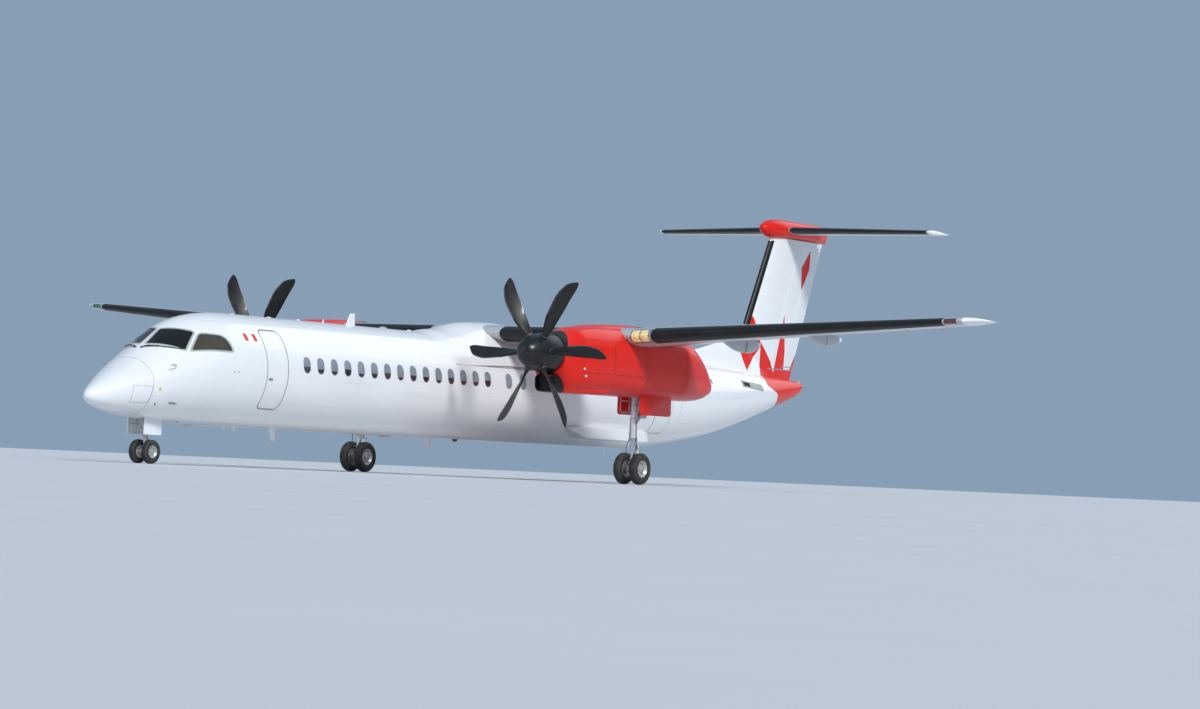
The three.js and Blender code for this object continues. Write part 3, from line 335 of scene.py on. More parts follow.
def piece(name, bm, finish, rides="airframe", slot=None, replaces="", smooth=35):
    """Makes the object of a finished mesh; several finishes follow the marks of its faces."""
    mesh = bpy.data.meshes.new(name)
    bm.to_mesh(mesh)
    bm.free()
    obj = bpy.data.objects.new(name, mesh)
    bpy.context.scene.collection.objects.link(obj)
    names = [finish] if isinstance(finish, str) else finish
    for each in names:
        mesh.materials.append(finishes[each])
    mesh.shade_smooth()
    mesh.set_sharp_from_angle(angle=math.radians(smooth))
    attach(obj, rides)
    slot or next(usual for usual, members in USUAL_SLOTS.items() if names[0] in members)
    if replaces:
        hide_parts(*replaces.split())
    return obj


def cylinder(bm, start, end, radius, tip=None, segments=24, bevel=0):
    """A round bar or cone between two points."""
    start, end = Vector(start), Vector(end)
    along = end - start
    turn = along.to_track_quat("Z", "Y").to_matrix().to_4x4()
    made = bmesh.ops.create_cone(
        bm, cap_ends=True, segments=segments, radius1=radius, radius2=radius if tip is None else tip,
        depth=along.length, matrix=Matrix.Translation((start + end) / 2) @ turn)["verts"]
    if bevel:
        rims = {edge for vert in made for edge in vert.link_edges
                if len(edge.link_faces) == 2 and edge.calc_face_angle(0) > RIM_ANGLE}
        bmesh.ops.bevel(bm, geom=list(rims), offset=bevel, affect="EDGES", segments=2, profile=0.5, material=-1)


def block(bm, low, high, bevel=0, segments=2):
    """A box between two corners, with its edges broken."""
    low, high = Vector(low), Vector(high)
    matrix = Matrix.Translation((low + high) / 2) @ Matrix.Diagonal((*(high - low), 1))
    made = bmesh.ops.create_cube(bm, size=1, matrix=matrix)["verts"]
    if bevel:
        edges = {edge for vert in made for edge in vert.link_edges}
        made = bmesh.ops.bevel(
            bm, geom=list(edges), offset=bevel, affect="EDGES", segments=segments, profile=0.5, material=-1)["verts"]
    return made


def lathe(bm, profile, centre, axis, steps=48, loop=False):
    """Spins a profile of (radius, distance along the axis) once around."""
    axis = Vector(axis).normalized()
    out = axis.orthogonal().normalized()
    verts = [bm.verts.new(Vector(centre) + out * radius + axis * along) for radius, along in profile]
    edges = [bm.edges.new(pair) for pair in zip(verts, verts[1:])]
    if loop:
        edges.append(bm.edges.new((verts[-1], verts[0])))
    bmesh.ops.spin(
        bm, geom=verts + edges, cent=centre, axis=axis, angle=math.tau, steps=steps, use_merge=True,
        use_duplicate=False)


def cover(bm, us, vs, spot, outward, proud):
    """A thin closed cover laid over a surface; outward gives a vector that leaves it at a point."""
    made = sheet(bm, us, vs, spot)
    faces = list(dict.fromkeys(face for vert in made for face in vert.link_faces))
    bm.normal_update()
    if sum(face.normal.dot(outward(face.calc_center_median())) for face in faces) < 0:
        bmesh.ops.reverse_faces(bm, faces=faces)
    bm.normal_update()
    for vert, normal in [(vert, vert.normal.copy()) for vert in made]:
        vert.co += normal * proud
    bmesh.ops.solidify(bm, geom=faces, thickness=proud + 0.001)


def on_side(side, station, height, proud=0):
    """The point on the body's left or right side, and how far it stands proud."""
    return place(side * (body.side(station, height) + proud), station, height)


def patch(bm, side, stations, heights, proud=0.002, tube=None):
    """A thin plate that follows the side of the body."""
    shape = tube or body
    cover(bm, stations, heights, lambda s, h: place(shape.centre + side * shape.side(s, h), s, h),
          lambda spot: Vector((side, 0, 0)), proud)


def cushion(bm, half, thin, matrix):
    """A crowned pad: fuller in its middle, its corners rounded and its sides pulled in between them."""
    made = bmesh.ops.create_cube(bm, size=2)["verts"]
    edges = dict.fromkeys(edge for vert in made for edge in vert.link_edges)
    bmesh.ops.subdivide_edges(bm, edges=list(edges), cuts=11, use_grid_fill=True)
    others = [k for k in range(3) if k != thin]
    for vert in bm.verts:
        size = sum(abs(c) ** 5 for c in vert.co) ** 0.2
        spot = vert.co / size
        a, b = (1 - spot[k] ** 2 for k in others)
        spot[thin] *= 0.74 + 0.26 * max(a * b, 0) ** 0.5
        for k, pull in zip(others, (b, a)):
            spot[k] *= 1 - 0.05 * max(pull, 0)
        vert.co = matrix @ Vector(c * reach for c, reach in zip(spot, half))


def frame_line(bm, side, station0, station1, low, high, width, tube=None):
    """Four fine strips around a panel on the body's side."""
    upright = spread(low, high, 2 + int(abs(high - low) / LINE_STEP))
    level = spread(station0, station1, 2 + int((station1 - station0) / 0.15))
    for first, last in ((station0, station0 + width), (station1 - width, station1)):
        patch(bm, side, (first, last), upright, 0.0016, tube)
    for lower, upper in ((low, low + width), (high - width, high)):
        patch(bm, side, level, (lower, upper), 0.0016, tube)


def outline_line(bm, side, station0, station1, low, high, radius, gap, width):
    """A painted line around a door with rounded corners."""
    rings = [rounded(station0 - grow, station1 + grow, low - grow, high + grow, radius + grow, 8)
             for grow in (gap, gap + width)]
    count = len(rings[0])

    def spot(u, v):
        k, share = int(u), u - int(u)
        a, b = rings[v][k % count], rings[v][(k + 1) % count]
        station, height = a[0] + (b[0] - a[0]) * share, a[1] + (b[1] - a[1]) * share
        return on_side(side, station, height)

    turns = []
    for k in range(count):
        steps = 1 + int(math.dist(rings[0][k], rings[0][(k + 1) % count]) / LINE_STEP)
        turns += [k + j / steps for j in range(steps)]
    cover(bm, turns + [count], (0, 1), spot, lambda point: Vector((side, 0, 0)), 0.0012)


def dome(bm, spot, radii, segments=24):
    """A low blister on a surface."""
    bmesh.ops.create_uvsphere(
        bm, u_segments=segments, v_segments=12, radius=1,
        matrix=Matrix.Translation(spot) @ Matrix.Diagonal((*radii, 1)))


def pipe(bm, points, radius, sides=10):
    """A round tube along a smooth path through points, closed at its ends."""
    points = [Vector(point) for point in points]
    ends = [2 * points[0] - points[1], *points, 2 * points[-1] - points[-2]]
    path = []
    for a, b, c, d in zip(ends, ends[1:], ends[2:], ends[3:]):
        for u in spread(0, 1, PIPE_STEPS)[: None if c is points[-1] else -1]:
            square, cube = 2 * a - 5 * b + 4 * c - d, 3 * b - a - 3 * c + d
            path.append(0.5 * (2 * b + (c - a) * u + square * u**2 + cube * u**3))
    rows = []
    normal = (path[1] - path[0]).orthogonal().normalized()
    for k, spot in enumerate(path):
        along = (path[min(k + 1, len(path) - 1)] - path[max(k - 1, 0)]).normalized()
        normal = (normal - along * normal.dot(along)).normalized()
        other = along.cross(normal)
        turns = spread(0, math.tau, sides)[:-1]
        rows.append([spot + radius * (math.cos(a) * normal + math.sin(a) * other) for a in turns])
    shell(bm, rows)


def rounded(station0, station1, low, high, radius, steps=5):
    """The corners of a rounded rectangle in station and height, counter-clockwise."""
    points = []
    for cx, cy, start in (
        (station1 - radius, low + radius, -90), (station1 - radius, high - radius, 0),
        (station0 + radius, high - radius, 90), (station0 + radius, low + radius, 180),
    ):
        for k in range(steps + 1):
            angle = math.radians(start + 90 * k / steps)
            points.append((cx + radius * math.cos(angle), cy + radius * math.sin(angle)))
    return points


def extent(points, columns=(0, 1)):
    """The lowest and the highest values in two columns of a list of points."""
    return tuple(tuple(pick(point[k] for point in points) for k in columns) for pick in (min, max))


def thin_ring(front, back, depth, count):
    """The outline of an aerofoil between two stations, as station and offset."""
    shares = [(1 - k / count) ** 2 for k in range(count + 1)]
    upper = [(front + share * (back - front), foil_half(share) * depth) for share in shares]
    return upper + [(station, -offset) for station, offset in reversed(upper[:-1])]


# Material helpers


def node(tree, kind, links=None, **settings):
    """Adds a shader node; links holds its inputs, each a value or another node's output."""
    made = tree.nodes.new(kind)
    for key, value in settings.items():
        setattr(made, key, value)
    for key, value in (links or {}).items():
        if isinstance(value, bpy.types.NodeSocket):
            tree.links.new(value, made.inputs[key])
        else:
            made.inputs[key].default_value = value
    return made


def maths(tree, operation, first, second=0.0):
    return node(tree, "ShaderNodeMath", {0: first, 1: second}, operation=operation).outputs[0]


def mix(tree, amount, first, second):
    """Mixes two colours."""
    return node(tree, "ShaderNodeMix", {0: amount, 6: first, 7: second}, data_type="RGBA").outputs[2]


def ramp(tree, value, low, high, start=0.0, end=1.0):
    """Stretches a range of values to another one."""
    links = {"Value": value, "From Min": low, "From Max": high, "To Min": start, "To Max": end}
    return node(tree, "ShaderNodeMapRange", links).outputs[0]


def new_group(name, inputs, outputs):
    """An empty node group with its sockets, each output a name and a kind."""
    tree = bpy.data.node_groups.new(name, "ShaderNodeTree")
    for label, value in inputs:
        kind = "NodeSocketVector" if isinstance(value, tuple) else "NodeSocketFloat"
        socket = tree.interface.new_socket(label, in_out="INPUT", socket_type=kind)
        socket.default_value = value
    for label in outputs:
        tree.interface.new_socket(label, in_out="OUTPUT", socket_type="NodeSocketFloat")
    return tree, tree.nodes.new("NodeGroupInput"), tree.nodes.new("NodeGroupOutput")


def seam_group():
    """Panel joints along two directions with a row of rivets beside each one."""
    inputs = [("Along", 0.0), ("Across", 0.0), ("Frame Pitch", 1.0), ("Row Pitch", 0.8), ("Width", 0.003)]
    tree, source, sink = new_group("Panel Seams", inputs, ["Seam", "Rivet"])
    seams, rivets = [], []
    for spot, other, pitch in (("Along", "Across", "Frame Pitch"), ("Across", "Along", "Row Pitch")):
        cell = maths(tree, "DIVIDE", source.outputs[spot], source.outputs[pitch])
        off = maths(tree, "SUBTRACT", maths(tree, "FRACT", cell), 0.5)
        away = maths(tree, "MULTIPLY", maths(tree, "ABSOLUTE", off), source.outputs[pitch])
        seams.append(maths(tree, "LESS_THAN", away, source.outputs["Width"]))
        row = maths(tree, "ABSOLUTE", maths(tree, "SUBTRACT", away, 0.016))
        step = maths(tree, "FRACT", maths(tree, "DIVIDE", source.outputs[other], 0.032))
        along = maths(tree, "MULTIPLY", maths(tree, "ABSOLUTE", maths(tree, "SUBTRACT", step, 0.5)), 0.032)
        squares = (maths(tree, "POWER", value, 2.0) for value in (row, along))
        reach = maths(tree, "SQRT", maths(tree, "ADD", *squares))
        rivets.append(ramp(tree, reach, 0.0034, 0.0022))
    tree.links.new(maths(tree, "MAXIMUM", *seams), sink.inputs["Seam"])
    tree.links.new(maths(tree, "MAXIMUM", *rivets), sink.inputs["Rivet"])
    return tree


def airflow_group():
    """Dirt drawn out along the airflow, and soft changes of shade."""
    inputs = [("Vector", (0.0, 0.0, 0.0)), ("Scale", 3.0), ("Stretch", 9.0), ("Cover", 0.4)]
    tree, source, sink = new_group("Airflow Dirt", inputs, ["Streak", "Shade"])
    apart = node(tree, "ShaderNodeSeparateXYZ", {0: source.outputs["Vector"]}).outputs
    slow = maths(tree, "DIVIDE", apart[1], source.outputs["Stretch"])
    drawn = node(tree, "ShaderNodeCombineXYZ", {0: apart[0], 1: slow, 2: apart[2]}).outputs[0]
    streaks = node(
        tree, "ShaderNodeTexNoise",
        {"Vector": drawn, "Scale": source.outputs["Scale"], "Detail": 7.0, "Roughness": 0.6})
    edge = maths(tree, "SUBTRACT", 0.75, maths(tree, "MULTIPLY", source.outputs["Cover"], 0.5))
    tree.links.new(ramp(tree, streaks.outputs["Fac"], edge, 0.9), sink.inputs["Streak"])
    clouds = node(tree, "ShaderNodeTexNoise", {"Vector": source.outputs["Vector"], "Scale": 0.55, "Detail": 3.0})
    tree.links.new(ramp(tree, clouds.outputs["Fac"], 0.3, 0.7), sink.inputs["Shade"])
    return tree


def grain_group():
    """Fine speckle with a few broader blotches, for rubber, castings, cloth and worn paint."""
    inputs = [("Vector", (0.0, 0.0, 0.0)), ("Fine Scale", 400.0), ("Blotch Scale", 12.0)]
    tree, source, sink = new_group("Surface Grain", inputs, ["Fine", "Blotch"])
    for label, detail in (("Fine", 2.0), ("Blotch", 5.0)):
        links = {"Vector": source.outputs["Vector"], "Scale": source.outputs[f"{label} Scale"], "Detail": detail}
        tree.links.new(node(tree, "ShaderNodeTexNoise", links).outputs["Fac"], sink.inputs[label])
    return tree


groups = {}
finishes = {}


def grouped(tree, name, links):
    """Adds one of the shared node groups and returns its outputs."""
    return node(tree, "ShaderNodeGroup", links, node_tree=groups[name]).outputs


def new_material(name, **values):
    """A material with its Principled shader's plain values; returns its tree, shader and Object coordinates."""
    material = bpy.data.materials.new(name)
    material.use_nodes = True
    tree = material.node_tree
    shader = tree.nodes["Principled BSDF"]
    for key, value in values.items():
        label = key.replace("_", " ").title().replace("Ior Level", "IOR Level").replace("Ior", "IOR")
        shader.inputs[label].default_value = value
    finishes[name] = material
    return tree, shader, node(tree, "ShaderNodeTexCoord").outputs["Object"]


def bump(tree, shader, height, strength, distance):
    made = node(tree, "ShaderNodeBump", {"Strength": strength, "Distance": distance, "Height": height})
    tree.links.new(made.outputs[0], shader.inputs["Normal"])


def paint(name, colour, roughness, along, across, pitch, row, cover, dirt, coat=0.5, width=0.002, shine=0.5):
    """Gloss paint with panel joints, rivets, streaks of dirt and slight changes of shade."""
    tree, shader, spot = new_material(
        name, roughness=roughness, coat_weight=coat, coat_roughness=0.06, specular_ior_level=shine)
    axes = node(tree, "ShaderNodeSeparateXYZ", {0: spot}).outputs
    seams = grouped(tree, "seams", {
        "Along": axes[along], "Across": axes[across], "Frame Pitch": pitch, "Row Pitch": row, "Width": width})
    flow = grouped(tree, "airflow", {"Vector": spot, "Scale": 2.6, "Stretch": 8.0, "Cover": cover})
    dim, seam = ((*(share * c for c in colour), 1) for share in (0.955, 0.30))
    base = mix(tree, flow["Shade"], dim, (*colour, 1))
    base = mix(tree, maths(tree, "MULTIPLY", flow["Streak"], 0.35), base, (*dirt, 1))
    base = mix(tree, maths(tree, "MULTIPLY", seams["Seam"], 0.30), base, seam)
    tree.links.new(base, shader.inputs["Base Color"])
    rough = ramp(tree, flow["Streak"], 0.0, 1.0, roughness, roughness + 0.22)
    tree.links.new(rough, shader.inputs["Roughness"])
    height = maths(tree, "SUBTRACT", maths(tree, "MULTIPLY", seams["Rivet"], 0.4), seams["Seam"])
    bump(tree, shader, height, 0.35, 0.001)


def grained(name, colour, roughness, other, fine, blotch, strength=0.25, depth=0.0006, **values):
    """A material whose colour, roughness and surface vary with grain."""
    tree, shader, spot = new_material(name, **values)
    grain = grouped(tree, "grain", {"Vector": spot, "Fine Scale": fine, "Blotch Scale": blotch})
    share = ramp(tree, grain["Blotch"], 0.4, 0.68)
    tree.links.new(mix(tree, share, (*colour, 1), (*other, 1)), shader.inputs["Base Color"])
    rough = ramp(tree, grain["Blotch"], 0.3, 0.7, roughness - 0.06, roughness + 0.08)
    tree.links.new(rough, shader.inputs["Roughness"])
    bump(tree, shader, grain["Fine"], strength, depth)


def tinted(name, colour, other, fine, blotch, low, high, **values):
    """A smooth material, such as glass, whose colour and roughness vary a little."""
    tree, shader, spot = new_material(name, **values)
    grain = grouped(tree, "grain", {"Vector": spot, "Fine Scale": fine, "Blotch Scale": blotch})
    shade = mix(tree, ramp(tree, grain["Blotch"], 0.35, 0.65), (*colour, 1), (*other, 1))
    tree.links.new(shade, shader.inputs["Base Color"])
    tree.links.new(ramp(tree, grain["Fine"], 0.3, 0.7, low, high), shader.inputs["Roughness"])
    return tree, shader, shade


METAL = {"metallic": 1.0}
# Grained finishes: colour, roughness, second colour, scale of the grain and of the blotches, strength, other values
GRAINED = {
    "tyre_rubber": ((0.018, 0.018, 0.019), 0.72, (0.05, 0.047, 0.043), 220, 7, 0.25, {"depth": 0.001}),
    "propeller_black": ((0.008, 0.008, 0.009), 0.42, (0.016, 0.016, 0.017), 160, 5, 0.25,
                        {"coat_weight": 0.1, "specular_ior_level": 0.35}),
    "spinner_black": ((0.005, 0.005, 0.006), 0.36, (0.010, 0.010, 0.011), 60, 3, 0.05,
                      {"coat_weight": 0.15, "coat_roughness": 0.2, "specular_ior_level": 0.4}),
    "bare_metal": ((0.56, 0.57, 0.58), 0.30, (0.40, 0.40, 0.41), 500, 25, 0.08, METAL),
    "edge_metal": ((0.13, 0.135, 0.14), 0.52, (0.08, 0.08, 0.085), 300, 9, 0.08, METAL),
    "bright_rod": ((0.78, 0.79, 0.80), 0.12, (0.70, 0.70, 0.71), 600, 40, 0.03, METAL),
    "hot_metal": ((0.26, 0.20, 0.16), 0.48, (0.06, 0.05, 0.045), 240, 14, 0.2, METAL),
    "wheel_alloy": ((0.60, 0.61, 0.62), 0.40, (0.34, 0.33, 0.31), 420, 20, 0.25, {"metallic": 0.6}),
    "seal_rubber": ((0.24, 0.25, 0.26), 0.62, (0.30, 0.30, 0.31), 300, 15, 0.25, {}),
    # Near black that paints the shade inside openings: intake ducts, cooling slots, vents and holes in the wheels
    "dark_inside": ((0.012, 0.012, 0.013), 0.80, (0.03, 0.03, 0.03), 120, 9, 0.25, {}),
    "frame_grey": ((0.44, 0.47, 0.44), 0.40, (0.36, 0.385, 0.36), 300, 12, 0.1, {}),
    "lining_grey": ((0.34, 0.345, 0.34), 0.72, (0.29, 0.29, 0.285), 260, 8, 0.25, {}),
    "panel_grey": ((0.06, 0.065, 0.075), 0.6, (0.09, 0.095, 0.10), 260, 10, 0.25, {}),
    "seat_cloth": ((0.045, 0.055, 0.075), 0.88, (0.065, 0.075, 0.10), 700, 22, 0.5,
                   {"depth": 0.0012, "sheen_weight": 0.3}),
    "window_rim": ((0.36, 0.375, 0.39), 0.35, (0.30, 0.31, 0.32), 300, 10, 0.1, {}),
    # Blinds, whose glossy blue-grey also paints in the sky's reflection in the window glass
    "blind_pale": ((0.24, 0.285, 0.33), 0.30, (0.19, 0.23, 0.27), 90, 4, 0.05,
                   {"coat_weight": 1.0, "coat_roughness": 0.03}),
    "dart_line": ((0.16, 0.006, 0.004), 0.5, (0.10, 0.005, 0.003), 260, 8, 0.25, {}),
    "line_grey": ((0.24, 0.25, 0.26), 0.55, (0.18, 0.185, 0.19), 260, 8, 0.25, {}),
    "hose_black": ((0.02, 0.02, 0.021), 0.5, (0.04, 0.04, 0.04), 500, 30, 0.25, {}),
    "floor_pale": ((0.66, 0.67, 0.68), 0.55, (0.63, 0.64, 0.65), 60, 0.5, 0.05, {}),
    "yellow_mark": ((0.72, 0.60, 0.05), 0.45, (0.62, 0.50, 0.05), 300, 12, 0.25, {}),
}
# Lamps: colour and glow
LAMPS = {
    "lamp_gold": ((0.90, 0.70, 0.32), 0.30), "lamp_red": ((0.11, 0.010, 0.009), 0.03),
    "lamp_green": ((0.004, 0.16, 0.06), 0.02), "lamp_clear": ((0.80, 0.82, 0.84), 0.0),
}
# The record's slot for each finish, where a piece names no other; piece() looks it up but stores it nowhere
USUAL_SLOTS = {
    "white_paint": ("body_paint", "fin_paint", "window_rim"),
    "wing_paint": ("wing_paint",),
    "red_paint": ("accent_paint", "trim_paint", "dart_line"),
    "window_glass": ("cabin_glass", "screen_glass", "side_glass", "windshield_glass", "blind_pale", *LAMPS),
    "cabin_trim": ("lining_grey", "frame_grey", "panel_grey", "seat_cloth", "dark_inside", "line_grey", "yellow_mark"),
    "engine_metal": ("bare_metal", "hot_metal", "edge_metal"),
    "propeller_paint": ("propeller_black", "spinner_black"),
    "gear_paint": ("gear_paint",),
    "wheel_metal": ("wheel_alloy", "bright_rod"),
    "tyre_rubber": ("tyre_rubber", "boot_rubber", "seal_rubber", "hose_black"),
}


class AirlinerColours(bpy.types.PropertyGroup):
    """Colours of the paint scheme."""

    body: bpy.props.FloatVectorProperty(
        name="Body", description="Gloss paint of the body and fin", subtype="COLOR", default=(0.86, 0.87, 0.88))
    wing: bpy.props.FloatVectorProperty(
        name="Wing", description="Satin paint of the wing and tailplane", subtype="COLOR", default=(0.46, 0.48, 0.50))
    accent: bpy.props.FloatVectorProperty(
        name="Accent", description="Nacelles, tail cone, bullet and tail pattern", subtype="COLOR",
        default=(0.76, 0.014, 0.005))
    boot: bpy.props.FloatVectorProperty(
        name="Boots", description="Rubber on the leading edges", subtype="COLOR", default=(0.006, 0.006, 0.007))


class AirlinerSizes(bpy.types.PropertyGroup):
    """Sizes of what the skin carries."""

    window_pitch: bpy.props.FloatProperty(
        name="Window pitch", description="Distance between cabin windows ahead of the wing", default=0.535,
        subtype="DISTANCE", unit="LENGTH")
    window_width: bpy.props.FloatProperty(
        name="Window width", description="Width of a cabin window", default=0.25, subtype="DISTANCE", unit="LENGTH")
    seam_width: bpy.props.FloatProperty(
        name="Door seam", description="Width of the gap around the doors", default=0.012, subtype="DISTANCE",
        unit="LENGTH")
    camera_distance: bpy.props.FloatProperty(
        name="Camera distance", description="From the middle of the aircraft along the floor", default=100.0,
        subtype="DISTANCE", unit="LENGTH")


class AIRLINER_OT_finishes(bpy.types.Operator):
    """Make the node groups and the materials"""

    bl_idname = "airliner.finishes"
    bl_label = "Finishes"

    def execute(self, context):
        colours = context.scene.airliner_colours
        groups.update(seams=seam_group(), airflow=airflow_group(), grain=grain_group())
        white, red = tuple(colours.body), tuple(colours.accent)
        gloss = {"coat": 0.18, "shine": 0.22}
        paint("body_paint", white, 0.24, 1, 2, 0.94, 0.62, 0.30, (0.42, 0.41, 0.38))
        paint("fin_paint", white, 0.24, 2, 1, 0.78, 1.10, 0.25, (0.45, 0.44, 0.42))
        paint("wing_paint", tuple(colours.wing), 0.30, 0, 1, 0.86, 0.52, 0.35, (0.20, 0.20, 0.19), coat=0.6)
        paint("accent_paint", red, 0.30, 1, 2, 0.88, 0.70, 0.30, (0.30, 0.008, 0.004), **gloss)
        paint("trim_paint", red, 0.30, 1, 2, 2.90, 2.90, 0.15, (0.40, 0.01, 0.005), width=0.0005, **gloss)
        paint("gear_paint", (0.62, 0.64, 0.65), 0.36, 2, 1, 0.40, 5.00, 0.55, (0.13, 0.12, 0.10), coat=0.2,
              width=0.0005)
        grained("boot_rubber", tuple(colours.boot), 0.40, (0.012, 0.012, 0.013), 90, 2.2, 0.15, specular_ior_level=0.32)
        for name, (colour, roughness, other, fine, blotch, strength, values) in GRAINED.items():
            grained(name, colour, roughness, other, fine, blotch, strength, **values)
        for name, colour in (("cabin_glass", (0.018, 0.024, 0.030)), ("screen_glass", (0.01, 0.02, 0.03))):
            tinted(name, colour, [2.2 * c for c in colour], 3.0, 1.4, 0.05, 0.10,
                   coat_weight=1.0, coat_roughness=0.02, ior=1.5)
        for name, first, second in (("side_glass", (0.62, 0.55, 0.42), (0.54, 0.47, 0.36)),
                                    ("windshield_glass", (0.10, 0.11, 0.11), (0.07, 0.08, 0.08))):
            tinted(name, first, second, 5.0, 2.0, 0.02, 0.05,
                   transmission_weight=0.92, ior=1.40, specular_ior_level=0.3)
        for name, (colour, glow) in LAMPS.items():
            tree, shader, shade = tinted(name, colour, [0.6 * c for c in colour], 160.0, 25.0, 0.12, 0.22,
                                         coat_weight=1.0, coat_roughness=0.03)
            if glow:
                tree.links.new(shade, shader.inputs["Emission Color"])
                shader.inputs["Emission Strength"].default_value = glow
        return {"FINISHED"}


# Cutting helpers: faces carry marks while a skin is cut
SKIN, LEAF, RIM, SECOND, SEAM = range(5)


def fence(outline):
    """Upright planes along an outline in station and height, the longest side first."""
    sides = sorted(zip(outline, outline[1:] + outline[:1]), key=lambda ends: -math.dist(*ends))
    return [(place(0, s0, h0), Vector((0, h1 - h0, s0 - s1)).normalized()) for (s0, h0), (s1, h1) in sides]


def well(outline):
    """Planes that stand up along an outline in side and station."""
    sides = sorted(zip(outline, outline[1:] + outline[:1]), key=lambda ends: -math.dist(*ends))
    return [(place(x0, s0, 0), Vector((s1 - s0, x0 - x1, 0)).normalized()) for (x0, s0), (x1, s1) in sides]


def carve(bm, faces, planes):
    """Cuts faces along planes and returns those on the inner side of them all."""
    for spot, normal in planes:
        edges = dict.fromkeys(edge for face in faces for edge in face.edges)
        verts = dict.fromkeys(vert for edge in edges for vert in edge.verts)
        cut = bmesh.ops.bisect_plane(bm, geom=[*verts, *edges, *faces], dist=0.00001, plane_co=spot, plane_no=normal)
        faces = [part for part in cut["geom"] if isinstance(part, bmesh.types.BMFace)
                 and (part.calc_center_median() - spot).dot(normal) < 0]
    return faces


def near(bm, side, low, high, margin=(0.32, 0.12)):
    """The plain faces on one side of the body around a range of station and height."""
    found = []
    for face in bm.faces:
        spot = face.calc_center_median()
        station, height = spot.y + MIDDLE, spot.z - AXIS
        if (face.material_index == SKIN and spot.x * side > 0
                and low[0] - margin[0] < station < high[0] + margin[0]
                and low[1] - margin[1] < height < high[1] + margin[1]):
            found.append(face)
    return found


def mark(faces, value):
    for face in faces:
        face.material_index = value


def sink(bm, faces, way, cap_mark, wall_mark):
    """Pushes faces along a way and marks them and the wall that they leave."""
    made = bmesh.ops.extrude_face_region(bm, geom=faces)["geom"]
    bmesh.ops.delete(bm, geom=[face for face in faces if face.is_valid], context="FACES_ONLY")
    caps = [part for part in made if isinstance(part, bmesh.types.BMFace)]
    bmesh.ops.translate(bm, verts=[part for part in made if isinstance(part, bmesh.types.BMVert)], vec=way)
    walls = dict.fromkeys(face for cap in caps for edge in cap.edges for face in edge.link_faces)
    mark(walls, wall_mark)
    mark(caps, cap_mark)
    return caps


def cut_darts(bm, outlines):
    """Cuts outlines in station and height out of a skin and returns them as a mesh of their own."""
    for outline in outlines:
        (s0, h0), (s1, h1) = extent(outline)
        found = []
        for face in bm.faces:
            at = [vert.co.y + MIDDLE for vert in face.verts]
            up = [vert.co.z - AXIS for vert in face.verts]
            if face.material_index == SKIN and max(at) > s0 and min(at) < s1 and max(up) > h0 and min(up) < h1:
                found.append(face)
        mark(carve(bm, found, fence(outline)), RIM)
    return take(bm, RIM)


def take(bm, value):
    """Moves the faces that carry a mark into a mesh of their own."""
    taken = bm.copy()
    bmesh.ops.delete(taken, geom=[face for face in taken.faces if face.material_index != value], context="FACES")
    bmesh.ops.delete(bm, geom=[face for face in bm.faces if face.material_index == value], context="FACES")
    mark(taken.faces, 0)
    return taken


def cut_window(bm, side, outline, inner):
    """Cuts a window: a rim flush with the skin and a pane set in."""
    ring = carve(bm, near(bm, side, *extent(outline)), fence(outline))
    mark(ring, RIM)
    sink(bm, carve(bm, ring, fence(inner)), (-side * WINDOW_DEPTH, 0, 0), LEAF, RIM)


def cut_seam(bm, side, station0, station1, low, high, radius, width):
    """Cuts a narrow groove around a door."""
    around = near(bm, side, (station0, low), (station1, high))
    outer = rounded(station0 - width, station1 + width, low - width, high + width, radius + width, 8)
    outer = carve(bm, around, fence(outer))
    mark(outer, SEAM)
    mark(carve(bm, outer, fence(rounded(station0, station1, low, high, radius, 8))), SKIN)
    ring = [face for face in bm.faces if face.material_index == SEAM]
    sink(bm, ring, (-side * SEAM_DEPTH, 0, 0), LEAF, LEAF)


def shell(bm, rows, cap_ends=True):
    """A closed skin through rows of points, each row once around."""
    count = len(rows[0])
    made = sheet(bm, list(range(count + 1)), list(range(len(rows))), lambda u, v: rows[v][u % count])
    bmesh.ops.remove_doubles(bm, verts=made, dist=0.0002)
    made = [vert for vert in made if vert.is_valid]
    if cap_ends:
        edges = dict.fromkeys(edge for vert in made for edge in vert.link_edges if edge.is_boundary)
        bmesh.ops.holes_fill(bm, edges=list(edges), sides=0)
    faces = dict.fromkeys(face for vert in made for face in vert.link_faces)
    bmesh.ops.recalc_face_normals(bm, faces=list(faces))


# Sections of the wings and tail: chord fraction and offset from the chord line, once around


def hollow(chord, depth, hinge, clear):
    """Where a skin ends ahead of a hinge line, and the round wall that clears what turns behind it."""
    half = foil_half(hinge) * depth
    reach = half + clear
    ahead = math.sqrt(reach**2 - half**2)
    rear = hinge - ahead / chord
    start = math.atan2(foil_half(rear) * depth, ahead)
    return rear, [(hinge - reach * math.cos(a) / chord, reach * math.sin(a)) for a in spread(-start, start, 8)[1:-1]]


def fixed_section(foil, span, hinge=None, clear=0.013):
    """Over the top from the rear, back under the bottom, and up the hollow wall around a hinge line."""
    _, chord, depth, _ = foil.at(span)
    rear, wall = hollow(chord, depth, hinge, clear) if hinge else (1, [])
    upper = [(f, foil_half(f) * depth) for f in (rear * (1 - k / 18) ** 2 for k in range(19))]
    return upper + [(f, -h) for f, h in reversed(upper[:-1])] + wall


def moving_section(foil, span, hinge, rear_hinge=None, clear=0.013, slack=0.001):
    """The same for a surface whose round nose turns on its hinge line."""
    _, chord, depth, _ = foil.at(span)
    half = foil_half(hinge) * depth - slack
    rear, wall = hollow(chord, depth, rear_hinge, clear) if rear_hinge else (1, [])
    upper = [(f, foil_half(f) * depth - slack) for f in spread(rear, hinge, 8)]
    nose = [(hinge - half * math.sin(a) / chord, half * math.cos(a)) for a in spread(0, math.pi, 10)[1:-1]]
    return upper + nose + [(f, -h) for f, h in reversed(upper)] + wall


def mirrored(rows, mirror):
    return [[Vector((mirror * spot.x, spot.y, spot.z)) for spot in row] for row in rows]


